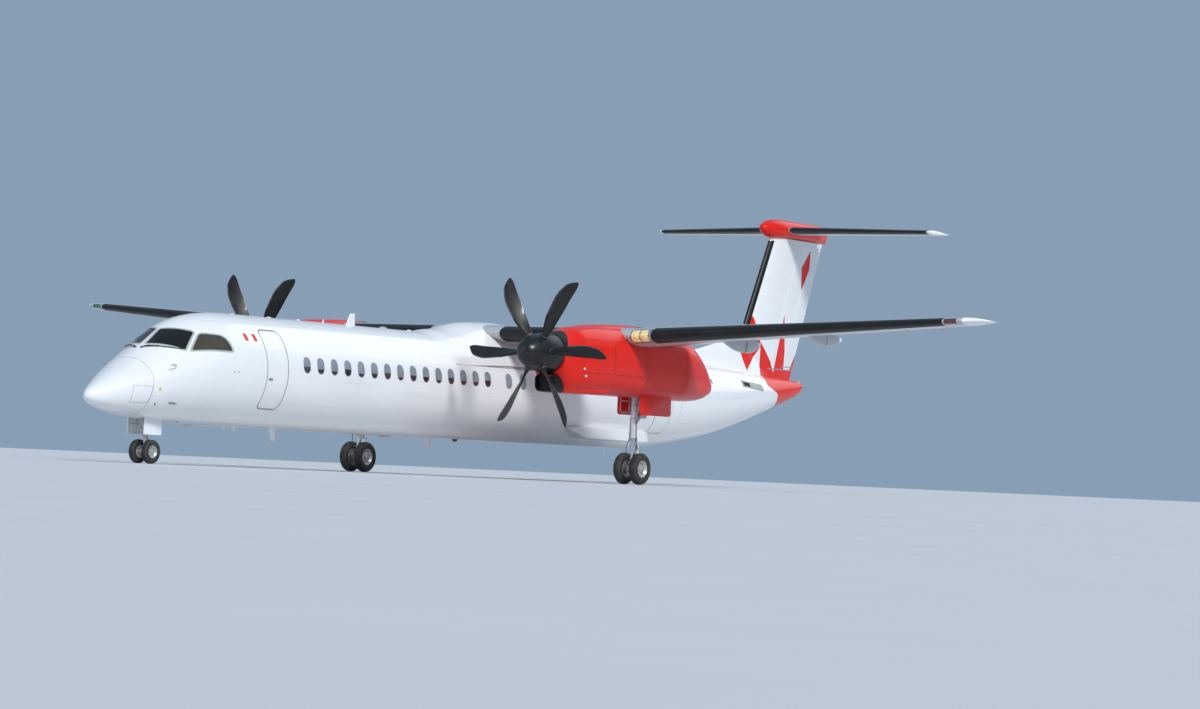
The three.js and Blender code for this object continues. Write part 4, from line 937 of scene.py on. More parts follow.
def rows_of(foil, spans, section, mirror=1):
    return mirrored([[foil.point(span, f, h) for f, h in section(span)] for span in spans], mirror)


def fixed(bm, foil, spans, mirror=1, hinge=None, clear=0.013):
    """The closed skin of a fixed stretch of a surface."""
    shell(bm, rows_of(foil, spans, lambda span: fixed_section(foil, span, hinge, clear), mirror))


def moving(bm, foil, spans, hinge, mirror=1, **room):
    """The closed skin of a stretch that turns on its hinge line."""
    shell(bm, rows_of(foil, spans, lambda span: moving_section(foil, span, hinge, **room), mirror))


class AIRLINER_OT_skins(bpy.types.Operator):
    """Build the painted skins of the body with their windows, doors and flight deck glass"""

    bl_idname = "airliner.skins"
    bl_label = "Body skins"

    def execute(self, context):
        sizes = context.scene.airliner_sizes
        skins = {
            "nose": (body, [5.85 * (k / 48) ** 2 for k in range(49)]),
            "centre": (body, spread(5.85, 21.8, 72)),
            "rear": (body, spread(21.8, 29.4, 40) + spread(29.4, 31.7, 16)[1:]),
        }
        made = {}
        for name, (tube, stations) in skins.items():
            bm = made[name] = bmesh.new()
            sheet(bm, spread(0, math.tau, 96), stations, tube.point)
            close(bm)
        self.cut_flight_deck(made["nose"])
        self.cut_nose_bay(made["nose"])
        self.cut_entry(made["nose"])
        width = sizes.seam_width
        for side, station0, station1, low, high, name in DOORS:
            cut_seam(made[name], side, station0, station1, low, high, DOOR_CORNER, width)
        self.cut_windows(made["centre"], sizes)
        for name in ("nose", "rear"):
            piece(f"door_seals_{name}", take(made[name], LEAF), "seal_rubber")
        piece("cabin_windows", take(made["centre"], LEAF), "cabin_glass")
        piece("window_rims", take(made["centre"], RIM), "window_rim")
        cap(made["rear"])
        made["cone"] = cut_darts(made["rear"], [CONE, *DARTS])
        panes = "windshield_left windshield_right side_window_left side_window_right"
        piece("skin_nose", made["nose"], ["body_paint", "lining_grey", "lining_grey"],
              replaces=f"fuselage_nose service_door {panes}")
        piece("skin_centre", made["centre"], "body_paint", replaces="fuselage_centre")
        piece("skin_rear", made["rear"], "body_paint",
              replaces="fuselage_rear aft_passenger_door aft_service_door baggage_door")
        piece("skin_cone", made["cone"], "accent_paint", replaces="tail_cone")
        return {"FINISHED"}

    def cut_windows(self, bm, sizes):
        half = sizes.window_width / 2
        for side, _ in SIDES:
            for station in window_stations(sizes):
                cut_window(
                    bm, side, rounded(station - half - 0.016, station + half + 0.016, 0.014, 0.416, half + 0.01),
                    rounded(station - half, station + half, 0.03, 0.40, half - 0.004))

    def cut_flight_deck(self, bm):
        """Cuts the panes: a frame flush with the skin, a reveal and the glass set in it."""
        for side, _ in SIDES:
            for (corners, rounding), value in zip(PANES, (LEAF, SECOND)):
                faces = near(bm, side, *extent(corners, (1, 2)), (0.25, 0.2))
                frame_faces = carve(bm, faces, pane_planes(corners, rounding, 0.045, side))
                mark(frame_faces, RIM)
                pane = carve(bm, frame_faces, pane_planes(corners, rounding, 0, side))
                sink(bm, pane, pane_normal(corners, side) * -PANE_DEPTH, value, RIM)
        frames = take(bm, RIM)
        for name, value in (("windshield", LEAF), ("side", SECOND)):
            glass = take(bm, value)
            bmesh.ops.solidify(glass, geom=list(glass.faces), thickness=0.012)
            piece(f"{name}_panes", glass, f"{name}_glass")
        bmesh.ops.solidify(frames, geom=list(frames.faces), thickness=0.02)
        piece("cockpit_frames", frames, "frame_grey")

    def cut_nose_bay(self, bm):
        """Opens the bay of the nose gear."""
        outline = [(0.235, 1.78), (0.235, 2.43), (-0.235, 2.43), (-0.235, 1.78)]
        under = [face for face in bm.faces if face.normal.z < -0.3 and 1.5 < face.calc_center_median().y + MIDDLE < 2.7
                 and abs(face.calc_center_median().x) < 0.6]
        sink(bm, carve(bm, under, well(outline)), (0, 0, 0.34), RIM, RIM)

    def cut_entry(self, bm):
        """Opens the doorway, with the walls of its frame."""
        station0, station1, low, high, radius = ENTRY
        outline = rounded(station0 - ENTRY_GAP, station1 + ENTRY_GAP, low - ENTRY_GAP, high + ENTRY_GAP,
                          radius + ENTRY_GAP, 8)
        hole = carve(bm, near(bm, 1, (station0, low), (station1, high)), fence(outline))
        caps = sink(bm, hole, (-0.09, 0, 0), LEAF, RIM)
        bmesh.ops.delete(bm, geom=caps, context="FACES")


EXITS = (14.83, 15.47)


def window_stations(sizes):
    """The middles of the cabin windows: ahead of the wing, the two exits and behind the wing."""
    return [6.40 + sizes.window_pitch * k for k in range(15)] + [*EXITS] + [16.15 + 0.49 * k for k in range(12)]


def pane_normal(corners, side):
    points = [Vector(corner) for corner in corners]
    normal = (points[2] - points[0]).cross(points[3] - points[1]).normalized()
    if normal.x < 0:
        normal.negate()
    return Vector((normal.x * side, normal.y, normal.z))


def pane_planes(corners, rounding, grow, side):
    """Planes along the rounded outline of a flight deck pane, standing on the pane."""
    normal = pane_normal(corners, 1)
    across = (Vector(corners[1]) - Vector(corners[0])).normalized()
    other = normal.cross(across).normalized()
    origin = Vector(corners[0])
    flat = [Vector(((Vector(c) - origin).dot(across), (Vector(c) - origin).dot(other))) for c in corners]
    area = sum(a.cross(b) for a, b in zip(flat, flat[1:] + flat[:1]))
    if area < 0:
        flat.reverse()
        rounding = rounding[::-1]
    sides = []
    for a, b in zip(flat, flat[1:] + flat[:1]):
        way = (b - a).normalized()
        sides.append((a + Vector((way.y, -way.x)) * grow, way))
    grown = []
    for (a, u), (b, v) in zip(sides[-1:] + sides[:-1], sides):
        grown.append(a + u * ((b - a).cross(v) / u.cross(v)))
    outline = []
    for k, corner in enumerate(grown):
        before, after = grown[k - 1] - corner, grown[(k + 1) % len(grown)] - corner
        start, end = before.normalized() * (rounding[k] + grow), after.normalized() * (rounding[k] + grow)
        for u in spread(0, 1, 6):
            outline.append(corner + start * (1 - u) ** 2 + end * u**2)
    spots = [origin + across * spot.x + other * spot.y for spot in outline]
    planes = []
    pairs = sorted(zip(spots, spots[1:] + spots[:1]), key=lambda ends: -(ends[1] - ends[0]).length)
    for a, b in pairs:
        if (b - a).length < 0.0005:
            continue
        out = (b - a).cross(normal).normalized()
        planes.append((place(a.x * side, a.y, a.z), Vector((out.x * side, out.y, out.z))))
    return planes


class AIRLINER_OT_door(bpy.types.Operator):
    """Build the entry door, a curved leaf that carries the steps"""

    bl_idname = "airliner.door"
    bl_label = "Entry door"

    def execute(self, context):
        station0, station1, low, high, radius = ENTRY
        bm = bmesh.new()
        sheet(bm, spread(-0.85, 0.95, 40), spread(4.7, 5.85, 8), body.point)
        close(bm)
        if sum(face.normal.x for face in bm.faces) < 0:
            bmesh.ops.reverse_faces(bm, faces=bm.faces)
        top = high - 0.004
        leaf = set(carve(bm, list(bm.faces), fence(rounded(station0, station1, low, top, radius, 8))))
        bmesh.ops.delete(bm, geom=[face for face in bm.faces if face not in leaf], context="FACES")
        bmesh.ops.solidify(bm, geom=list(bm.faces), thickness=0.06)
        piece("entry_door", bm, "body_paint", rides="passenger_door", replaces="passenger_door")
        steps = bmesh.new()
        middle = (station0 + station1) / 2
        lean = Matrix.Rotation(math.radians(50), 4, "Y")
        for k in range(5):
            height = -0.64 + 0.30 * k
            edge = place(math.sqrt(BODY_RADIUS**2 - height**2) - 0.09, middle, height)
            made = block(steps, (-0.23, -0.28, -0.016), (0, 0.28, 0.016), 0.006)
            bmesh.ops.transform(steps, matrix=Matrix.Translation(edge) @ lean, verts=made)
        piece("entry_steps", steps, "bare_metal", rides="passenger_door")
        return {"FINISHED"}


class AIRLINER_OT_fairings(bpy.types.Operator):
    """Build the fairing over the wing root and the wedges along the belly"""

    bl_idname = "airliner.fairings"
    bl_label = "Body fairings"

    def execute(self, context):
        bm = bmesh.new()

        def spot(turn, station):
            point, skin = saddle.point(turn, station), body.point(turn, station)
            ends = fade((station - 12.3) / 0.6) * fade((19.6 - station) / 0.6)
            share = fade((point.z - AXIS - 0.54) / 0.26) * ends
            skin += Vector((skin.x, 0, skin.z - AXIS)) * (0.003 * ends - 0.001)
            return skin.lerp(point, share)

        low = math.asin(0.545 / BODY_RADIUS)
        sheet(bm, spread(low, math.pi - low, 72), spread(12.3, 19.6, 56), spot)
        close(bm)
        piece("wing_root_fairing", bm, "body_paint", replaces="wing_fairing")
        for side, name in SIDES:
            bm = bmesh.new()
            rows = []
            for station, top, bottom, reach in (
                (17.93, -0.875, -0.90, 1.05), (18.05, -0.85, -0.955, 1.20), (18.30, -0.845, -1.035, 1.222),
                (18.60, -0.84, -1.125, 1.225), (18.75, -0.84, -1.150, 1.225), (20.0, -0.82, -1.160, 1.225),
                (21.45, -0.805, -1.168, 1.225), (21.65, -0.89, -1.165, 1.21), (21.88, -1.10, -1.150, 1.12),
            ):
                row = [(0.6, top), (reach - 0.03, top), (reach, top - 0.012), (reach, (top + bottom) / 2),
                       (reach, bottom + 0.03), (reach - 0.02, bottom + 0.006), (reach - 0.05, bottom), (0.5, bottom)]
                rows.append([place(side * x, station, h) for x, h in row])
            shell(bm, rows)
            piece(f"belly_wedge_{name}", bm, "body_paint", replaces=f"belly_fairing_{name}")
        return {"FINISHED"}


# Fairings over the flap pivots: side, length ahead and behind the pivot, half width, depth of the keel below it
INNER_PIVOTS = [(2.570, 0.620, 0.520, 0.060, 0)]
OUTER_PIVOTS = [(7.250, 1.150, 0.860, 0.095, 0.080), (9.560, 0.950, 0.900, 0.085, 0.020)]
AILERON_ARMS = [(11.900, 0.420, 0, 0.030, -0.215), (13.000, 0.380, 0, 0.028, -0.225)]
PIVOT_DROP = 0.330


def canoe(bm, foil, pivot_row, mirror, shares, rear):
    """Half of a flap pivot fairing, between two shares of the way from the pivot to its end."""
    side, ahead, behind, half, keel = pivot_row
    front = foil.at(side)[2] * foil_half(FLAP_HINGE)
    centre = foil.point(side, FLAP_HINGE, 0)
    pivot = centre.y + MIDDLE - front
    foot = centre.z - AXIS - PIVOT_DROP - 0.020 - keel
    middle = centre.z - AXIS - front * 0.5
    rows = []
    for u in shares:
        if rear:
            station = pivot + 0.022 + (behind - 0.022) * u
            width, base = half * (1 - u**3) ** 0.6, foot + (middle - 0.13 - foot) * u**2.6
            crown = middle - 0.01 - 0.10 * u**2
        else:
            station = pivot - ahead * u
            width, base = half * (1 - u**2.2) ** 0.75, foot + (middle - 0.06 - foot) * u**1.7
            crown = middle + 0.02
        row = []
        for k in range(13):
            a = math.pi * k / 12
            x, h = math.cos(a), math.sin(a) ** 0.55
            lean = keel * h * (1 - u) if rear else 0
            row.append((width * math.copysign(abs(x) ** 0.7, x), crown - (crown - base) * h, station + lean))
        rows.append([place(mirror * (side + x), at, h) for x, h, at in row])
    shell(bm, rows)


FRONT_SHARES = [0, 0.03, 0.1, 0.2, 0.32, 0.45, 0.6, 0.74, 0.86, 0.95, 0.99]
REAR_SHARES = [0, 0.05, 0.15, 0.28, 0.42, 0.56, 0.68, 0.76]
END_SHARES = [0.76, 0.82, 0.88, 0.93, 0.965, 0.985, 0.995]


class AIRLINER_OT_wings(bpy.types.Operator):
    """Build the wing skins with their tips and the fixed halves of the pivot fairings"""

    bl_idname = "airliner.wings"
    bl_label = "Wings"

    def execute(self, context):
        bm = bmesh.new()
        fixed(bm, centre_wing, spread(-1.473, 1.473, 6))
        for mirror, _ in SIDES:
            fixed(bm, centre_wing, spread(1.473, 3.667, 6), mirror, FLAP_HINGE)
            fixed(bm, centre_wing, spread(3.667, 5.12, 4), mirror)
            for row in INNER_PIVOTS:
                canoe(bm, centre_wing, row, mirror, FRONT_SHARES, rear=False)
        piece("wing_middle", bm, "wing_paint", replaces="wing_centre")
        for mirror, name in SIDES:
            bm = bmesh.new()
            fixed(bm, outer_wing, spread(5.12, 10.037, 12), mirror, FLAP_HINGE)
            fixed(bm, outer_wing, [10.037, 10.083], mirror)
            fixed(bm, outer_wing, spread(10.083, 13.527, 9), mirror, AILERON_HINGE, SMALL_GAP)
            fixed(bm, outer_wing, spread(13.527, 13.9, 2), mirror)
            for row in OUTER_PIVOTS + AILERON_ARMS:
                canoe(bm, outer_wing, row, mirror, FRONT_SHARES, rear=False)
            jack_pad = mirror * 6.0
            cylinder(bm, place(jack_pad, 15.95, 1.27), place(jack_pad, 15.95, 1.36), 0.06, bevel=0.004)
            piece(f"wing_{name}_skin", bm, "wing_paint", replaces=f"wing_{name}")
            self.tip(mirror, name)
        return {"FINISHED"}

    def tip(self, mirror, name):
        """The rounded white end of a wing."""
        bm = bmesh.new()
        rows = []
        for u in [0, 0.12, 0.3, 0.5, 0.68, 0.82, 0.92, 0.98, 1]:
            swell = 1 - math.sqrt(max(1 - u**2, 0))
            front = 15.80 + 0.20 * u + 0.50 * swell
            back = 17.24 - 0.09 * u - 0.05 * swell
            depth = 0.205 * (1 - u) + 0.120 * u - 0.105 * swell
            rise = 2.035 + 0.033 * u
            span = mirror * (13.9 + 0.31 * u)
            rows.append([place(span, at, rise + h) for at, h in thin_ring(front, back, depth, 18)])
        shell(bm, rows)
        piece(f"wing_tip_{name}", bm, "body_paint")


class AIRLINER_OT_controls(bpy.types.Operator):
    """Build the flaps, ailerons, elevators and rudders"""

    bl_idname = "airliner.controls"
    bl_label = "Control surfaces"

    def execute(self, context):
        surfaces = [
            ("flap_inner", centre_wing, spread(1.480, 3.660, 6), FLAP_HINGE, 0.002, INNER_PIVOTS),
            ("flap_outer", outer_wing, spread(5.165, 10.030, 12), FLAP_HINGE, 0.002, OUTER_PIVOTS),
            ("aileron", outer_wing, spread(10.110, 13.500, 8), AILERON_HINGE, 0.001, []),
            ("elevator", tail, spread(0.436, 4.544, 10), ELEVATOR_HINGE, 0.001, []),
        ]
        for name, foil, spans, hinge, slack, pivots in surfaces:
            for mirror, side in SIDES:
                bm, rides = bmesh.new(), f"{name}_{side}"
                moving(bm, foil, spans, hinge, mirror, slack=slack)
                for row in pivots:
                    canoe(bm, foil, row, mirror, REAR_SHARES, rear=True)
                    self.arm(bm, foil, row, mirror)
                piece(f"{rides}_skin", bm, "wing_paint", rides=rides, replaces=rides)
                if pivots:
                    ends = bmesh.new()
                    for row in pivots:
                        canoe(ends, foil, row, mirror, END_SHARES, rear=True)
                    piece(f"{rides}_fairing_ends", ends, "body_paint", rides=rides)
        fore, aft = bmesh.new(), bmesh.new()
        moving(fore, fin, [1.250, 1.308], RUDDER_HINGE)
        moving(fore, fin, spread(1.308, 4.832, 9), RUDDER_HINGE, rear_hinge=REAR_RUDDER_HINGE, clear=SMALL_GAP)
        moving(fore, fin, [4.832, 4.900], RUDDER_HINGE)
        moving(aft, fin, spread(1.340, 4.800, 9), REAR_RUDDER_HINGE)
        for rides, bm in (("rudder_fore", fore), ("rudder_aft", aft)):
            piece(f"{rides}_darts", cut_darts(bm, DARTS), "trim_paint", rides=rides)
            piece(f"{rides}_skin", bm, "fin_paint", rides=rides, replaces=rides)
        return {"FINISHED"}

    def arm(self, bm, foil, row, mirror):
        """The knuckle that the fixed fairing holds."""
        side, _, _, half, keel = row
        front = foil.at(side)[2] * foil_half(FLAP_HINGE)
        centre = foil.point(side, FLAP_HINGE, 0)
        y, z = centre.y - front, centre.z - PIVOT_DROP
        x, wide = mirror * side, half * 0.5
        block(bm, (x - wide, y, z - 0.012), (x + wide, y + 0.03 + keel, z + 0.012))


class AIRLINER_OT_tail(bpy.types.Operator):
    """Build the fin with its ridge, the tailplane and the bullet over their joint"""

    bl_idname = "airliner.tail"
    bl_label = "Tail"

    def execute(self, context):
        bm = bmesh.new()
        fixed(bm, fin, spread(0.70, 1.22, 3))
        fixed(bm, fin, spread(1.22, 4.93, 12), hinge=RUDDER_HINGE, clear=SMALL_GAP)
        fixed(bm, fin, [4.93, 5.08])
        rows = []
        for station in spread(24.3, RIDGE_FOOT, 24) + spread(RIDGE_FOOT, 29.60, 7)[1:]:
            top = ridge_top(station) - 0.25 * max(station - RIDGE_FOOT, 0)
            half = 0.05 + 0.115 * fade((station - 24.3) / 4.4) - 0.06 * fade((station - 28.3) / 1.3)
            floor = body.read(station)[0] - 0.10
            rows.append([place(half * math.cos(a) * (1 + 1.1 * (1 - math.sin(a)) ** 3), station,
                               floor + (top - floor) * math.sin(a) ** 0.9) for a in spread(0, math.pi, 20)])
        shell(bm, rows)
        piece("fin_darts", cut_darts(bm, [STUB, *DARTS]), "trim_paint")
        piece("fin_skin", bm, "fin_paint", replaces="fin")
        bm, tips = bmesh.new(), bmesh.new()
        for mirror, _ in SIDES:
            fixed(bm, tail, [0, 0.42], mirror)
            fixed(bm, tail, spread(0.42, 4.56, 10), mirror, ELEVATOR_HINGE, SMALL_GAP)
            fixed(tips, tail, [4.56, 4.59], mirror)
            rows = []
            for u in [0, 0.3, 0.6, 0.85, 1]:
                span = 4.59 + 0.045 * u
                swell = 1 - math.sqrt(1 - u * u)
                rows.append([tail.point(span, f + (0.5 - f) * 0.06 * swell, h * (1 - 0.9 * swell))
                             for f, h in fixed_section(tail, span)])
            shell(tips, mirrored(rows, mirror))
        piece("tailplane_tips", tips, "body_paint")
        piece("tailplane_skin", bm, "wing_paint", replaces="stabiliser")
        bm = bmesh.new()
        stations = [29.18 + 0.9 * (k / 16) ** 2 for k in range(17)] + spread(30.2, LENGTH, 18)
        sheet(bm, spread(0, math.tau, 64), stations, bullet.point)
        close(bm)
        cap(bm)
        piece("bullet_skin", bm, "accent_paint", replaces="tail_bullet")
        return {"FINISHED"}


def ridge_top(station):
    """Height of the ridge ahead of the fin."""
    for (a, low), (b, high) in zip(RIDGE, RIDGE[1:]):
        if station <= b:
            return low + (high - low) * (station - a) / (b - a)
    return RIDGE[-1][1]


class AIRLINER_OT_boots(bpy.types.Operator):
    """Build the rubber boots, the lamps and the lenses along the leading edges"""

    bl_idname = "airliner.boots"
    bl_label = "Boots and lamps"

    def execute(self, context):
        wing, other = bmesh.new(), bmesh.new()
        for mirror, name in SIDES:
            for first, last in ((5.70, 7.60), (7.602, 9.50), (9.502, 11.40), (11.402, 13.40)):
                self.wrap(wing, outer_wing, first, last, 0.105, 0.135, mirror)
            self.wrap(wing, centre_wing, 1.12, 3.74, 0.105, 0.135, mirror)
            for first, last in ((0.36, 2.40), (2.402, 4.53)):
                self.wrap(other, tail, first, last, 0.12, 0.15, mirror)
            frame, gold, lens = bmesh.new(), bmesh.new(), bmesh.new()
            self.wrap(frame, outer_wing, 5.14, 5.69, 0.070, 0.095, mirror, 0.0025)
            for first, last in ((5.18, 5.38), (5.42, 5.62)):
                self.wrap(gold, outer_wing, first, last, 0.045, 0.062, mirror, 0.005)
            for spot in (5.28, 5.52):
                edge = outer_wing.point(spot, 0, 0)
                lathe(gold, [(0.0, -0.016), (0.03, -0.013), (0.052, -0.006), (0.06, 0.004), (0.06, 0.03)],
                      (mirror * edge.x, edge.y, edge.z), (0, 1, 0), 28)
            self.wrap(lens, outer_wing, 13.44, 13.76, 0.045, 0.060, mirror, 0.004)
            piece(f"landing_lamp_frame_{name}", frame, "bare_metal")
            piece(f"landing_lamps_{name}", gold, "lamp_gold")
            piece(f"navigation_lens_{name}", lens, "lamp_red" if mirror > 0 else "lamp_green")
        for first, last in ((2.08, 3.50), (3.502, 4.98)):
            self.wrap(other, fin, first, last, 0.045, 0.045, 1)
        piece("wing_boots", wing, "boot_rubber")
        piece("tail_boots", other, "boot_rubber")
        return {"FINISHED"}

    def wrap(self, bm, foil, first, last, top, bottom, mirror, proud=0.003):
        """A cover around a leading edge, back to a share of the chord on each face."""
        def spot(girth, span):
            face = 1 if girth >= 0 else -1
            point = foil.skin(span, (top if face > 0 else bottom) * girth**2, face)
            point.x *= mirror
            return point
        cover(bm, spread(-1, 1, 22), spread(first, last, 6), spot, lambda point: Vector((0, -1, 0)), proud)


def plate(bm, points, way, bevel):
    """A flat outline given thickness along a way, its edges broken."""
    face = bm.faces.new([bm.verts.new(point) for point in points])
    made = bmesh.ops.extrude_face_region(bm, geom=[face])["geom"]
    moved = [part for part in made if isinstance(part, bmesh.types.BMVert)]
    bmesh.ops.translate(bm, verts=moved, vec=way)
    faces = list(dict.fromkeys(each for vert in [*moved, *face.verts] for each in vert.link_faces))
    bmesh.ops.recalc_face_normals(bm, faces=faces)
    edges = dict.fromkeys(edge for each in faces for edge in each.edges if edge.calc_face_angle(0) > 0.9)
    bmesh.ops.bevel(bm, geom=list(edges), offset=bevel, affect="EDGES", segments=2, profile=0.5, material=-1)


LIP_DEPTH = 0.036


class AIRLINER_OT_nacelles(bpy.types.Operator):
    """Build the nacelles with their chin intakes, wheel bays and exhausts"""

    bl_idname = "airliner.nacelles"
    bl_label = "Nacelles"

    def execute(self, context):
        for mirror, name in SIDES:
            tube = Tube(NACELLE, mirror * ENGINE_SIDE, NACELLE_UNDER)
            bm = bmesh.new()
            stations = (spread(12.085, 13.1, 15) + spread(13.25, 17.3, 36) + [17.42, 17.50, 17.55, 17.58, 17.61, 17.68]
                        + spread(17.76, 19.2, 22))
            sheet(bm, spread(0, math.tau, 88), stations, tube.point)
            close(bm)
            self.bay(bm, mirror * ENGINE_SIDE)
            lining = take(bm, RIM)
            piece(f"wheel_bay_{name}", lining, "gear_paint")
            cap(bm)
            bmesh.ops.recalc_face_normals(bm, faces=bm.faces)
            front = [face for face in bm.faces if face.calc_center_median().y + MIDDLE < 12.6]
            mark(carve(bm, front, [(place(0, 12.43, 1.44), Vector((0, 0.86, -0.51)).normalized())]), RIM)
            piece(f"nacelle_{name}_front", take(bm, RIM), "boot_rubber")
            piece(f"nacelle_{name}_skin", bm, "accent_paint", replaces=f"nacelle_{name} engine_{name}")
            self.details(mirror, name, tube)
            self.intake(mirror, name)
            self.exhaust(mirror, name)
            self.doors(mirror, name)
        return {"FINISHED"}

    def details(self, mirror, name, tube):
        """Panel lines, latches, cooling slots in near black as painted shade, and the small lamps low at the front."""
        lines, dark, lamps = bmesh.new(), bmesh.new(), bmesh.new()
        for side in (1, -1):
            for first, last, low, high in ((12.75, 14.05, 0.42, 1.26), (14.07, 15.50, 0.42, 1.26),
                                           (14.10, 15.60, -0.04, 0.40), (15.62, 17.40, 0.12, 1.26)):
                frame_line(lines, side, first, last, low, high, 0.006, tube)
            # Near-black patches paint the shade inside the cooling slots.
            for first, low in ((12.98, 1.02), (14.62, 1.30), (14.90, 1.30), (15.18, 1.30)):
                patch(dark, side, spread(first, first + 0.10, 3), (low, low + 0.035), 0.003, tube)
            for at in (12.95, 13.35, 13.75, 14.35, 14.75, 15.20):
                patch(lines, side, spread(at, at + 0.07, 3), (0.436, 0.462), 0.005, tube)
        for station, height in ((12.78, 0.52), (12.88, 0.34)):
            spot = place(mirror * (ENGINE_SIDE + tube.side(station, height)), station, height)
            dome(lamps, spot, (0.022, 0.045, 0.032), 16)
        piece(f"nacelle_{name}_lines", lines, "dart_line")
        piece(f"nacelle_{name}_slots", dark, "dark_inside")
        piece(f"nacelle_{name}_lamps", lamps, "lamp_clear")

    def bay(self, bm, centre):
        under = [face for face in bm.faces if face.normal.z < -0.2
                 and 15.5 < face.calc_center_median().y + MIDDLE < 17.6]
        outline = [(centre + 0.30, 15.80), (centre + 0.30, 17.30), (centre - 0.30, 17.30), (centre - 0.30, 15.80)]
        sink(bm, carve(bm, under, well(outline)), (0, 0, 0.42), RIM, RIM)

    def ring(self, mirror, station, half, top, bottom, radius, inset=0):
        points = rounded(-half + inset, half - inset, bottom + inset, top - inset, radius - inset, 6)
        return [place(mirror * (ENGINE_SIDE + x), station, h) for x, h in points]

    def intake(self, mirror, name):
        """The chin intake: its cowl, its rounded rubber lip and its duct, in near black as painted shade."""
        mouth = (0.3005, 0.355, -0.088, 0.14, LIP_DEPTH)
        cowl = [(12.38, 0.322, 0.372, -0.101), (12.50, 0.345, 0.374, -0.101), (12.80, 0.405, 0.37, -0.101),
                (13.20, 0.465, 0.36, -0.099), (13.70, 0.50, 0.34, -0.093), (14.20, 0.49, 0.30, -0.075)]
        lip = [(12.382, 0.323, 0.373, -0.102, 0.12), (12.24, 0.316, 0.371, -0.101, 0.12),
               (12.05, 0.306, 0.362, -0.094, 0.13)]
        for k in range(7):
            a = math.pi * k / 6
            lip.append((12.005 - 0.035 * math.sin(a), *mouth[:4], LIP_DEPTH / 2 * (1 - math.cos(a))))
        lip.append((12.12, *mouth))
        # The duct's near-black finish is painted shade inside the intake.
        for label, rows, finish in (("intake", [(*row, 0.12) for row in cowl], "accent_paint"),
                                    ("intake_lip", lip, "boot_rubber"),
                                    ("intake_duct", [(at, *mouth) for at in spread(12.12, 12.56, 4)], "dark_inside")):
            bm = bmesh.new()
            shell(bm, [self.ring(mirror, *row) for row in rows], cap_ends=False)
            if label == "intake_duct":
                bmesh.ops.reverse_faces(bm, faces=bm.faces)
                cap(bm)
            piece(f"{label}_{name}", bm, finish)

    def exhaust(self, mirror, name):
        hump, pipe = bmesh.new(), bmesh.new()
        outer = Tube(EXHAUST, mirror * ENGINE_SIDE)
        stations = [13.15 + 0.9 * (k / 10) ** 2 for k in range(11)] + spread(14.15, 15.78, 14)
        sheet(hump, spread(0, math.tau, 48), stations, outer.point)
        close(hump)
        piece(f"exhaust_fairing_{name}", hump, "accent_paint")
        rows = [[outer.point(turn, at, inset) for turn in spread(0, math.tau, 48)[:-1]] for at, inset in (
            (15.78, -0.001), (16.03, -0.001), (16.048, 0.003), (16.05, 0.009), (16.045, 0.014), (15.55, 0.018))]
        shell(pipe, rows, cap_ends=False)
        bmesh.ops.holes_fill(pipe, edges=[edge for edge in pipe.edges if edge.is_boundary and all(
            vert.co.y + MIDDLE < 15.6 for vert in edge.verts)], sides=0)
        piece(f"exhaust_{name}", pipe, "hot_metal")

    def doors(self, mirror, name):
        bm = bmesh.new()
        for side in (-1, 1):
            points = rounded(15.82, 17.28, -0.52, 0.10, 0.10, 6)
            face = ENGINE_SIDE + side * 0.326
            plate(bm, [place(mirror * face, s, h) for s, h in points], (mirror * side * 0.026, 0, 0), 0.006)
        piece(f"gear_doors_{name}", bm, "trim_paint")


blade_row = reader([
    (0.150, 0.150, 0.150, 62, 0),
    (0.420, 0.160, 0.140, 60, 0),
    (0.640, 0.250, 0.075, 53, -0.015),
    (1.000, 0.335, 0.040, 44, -0.045),
    (1.450, 0.365, 0.026, 35, -0.045),
    (1.850, 0.290, 0.016, 28, 0.015),
    (2.055, 0.090, 0.007, 25, 0.110),
])
BLADES = 6
BLADE_STATION = 11.560
SPINNER_TIP, SPINNER_RADIUS, SPINNER_LENGTH = 10.95, 0.50, 1.12
BLADE_ROUND, BLADE_END = 1.955, 2.0557


def blade_ring(centre, angle, radius, grow=0.0, part=None):
    """One section of a blade: round at its root and an aerofoil further out."""
    chord, thickness, pitch, sweep = blade_row(radius)
    chord *= math.sqrt(1 - (max(radius - BLADE_ROUND, 0) / (BLADE_END - BLADE_ROUND)) ** 2)
    turn = math.radians(pitch)
    share = min(max((radius - 0.48) / 0.25, 0), 1)
    ring = []
    for a in part or spread(0, math.tau, 24)[:-1]:
        fraction = (1 + math.cos(a)) / 2
        thin = math.copysign(foil_half(fraction) * thickness, math.sin(a))
        along = (chord / 2 + grow) * math.cos(a) + sweep
        across = (thickness / 2) * math.sin(a) * (1 - share) + thin * share + grow * math.sin(a)
        tangent = along * math.cos(turn) - across * math.sin(turn)
        station = BLADE_STATION + along * math.sin(turn) + across * math.cos(turn)
        x = centre + radius * math.sin(angle) + tangent * math.cos(angle)
        z = SHAFT + radius * math.cos(angle) - tangent * math.sin(angle)
        ring.append(place(x, station, z))
    return ring


def blade_middle(centre, angle, spot):
    """The point on a blade's own line that is level with a spot."""
    way = Vector((math.sin(angle), 0, math.cos(angle)))
    hub = place(centre, BLADE_STATION, SHAFT)
    reach = (spot - hub).dot(way)
    _, _, pitch, sweep = blade_row(max(reach, 0.2))
    turn = math.radians(pitch)
    tangent = Vector((math.cos(angle), 0, -math.sin(angle))) * (sweep * math.cos(turn))
    return hub + way * reach + tangent + Vector((0, sweep * math.sin(turn), 0))


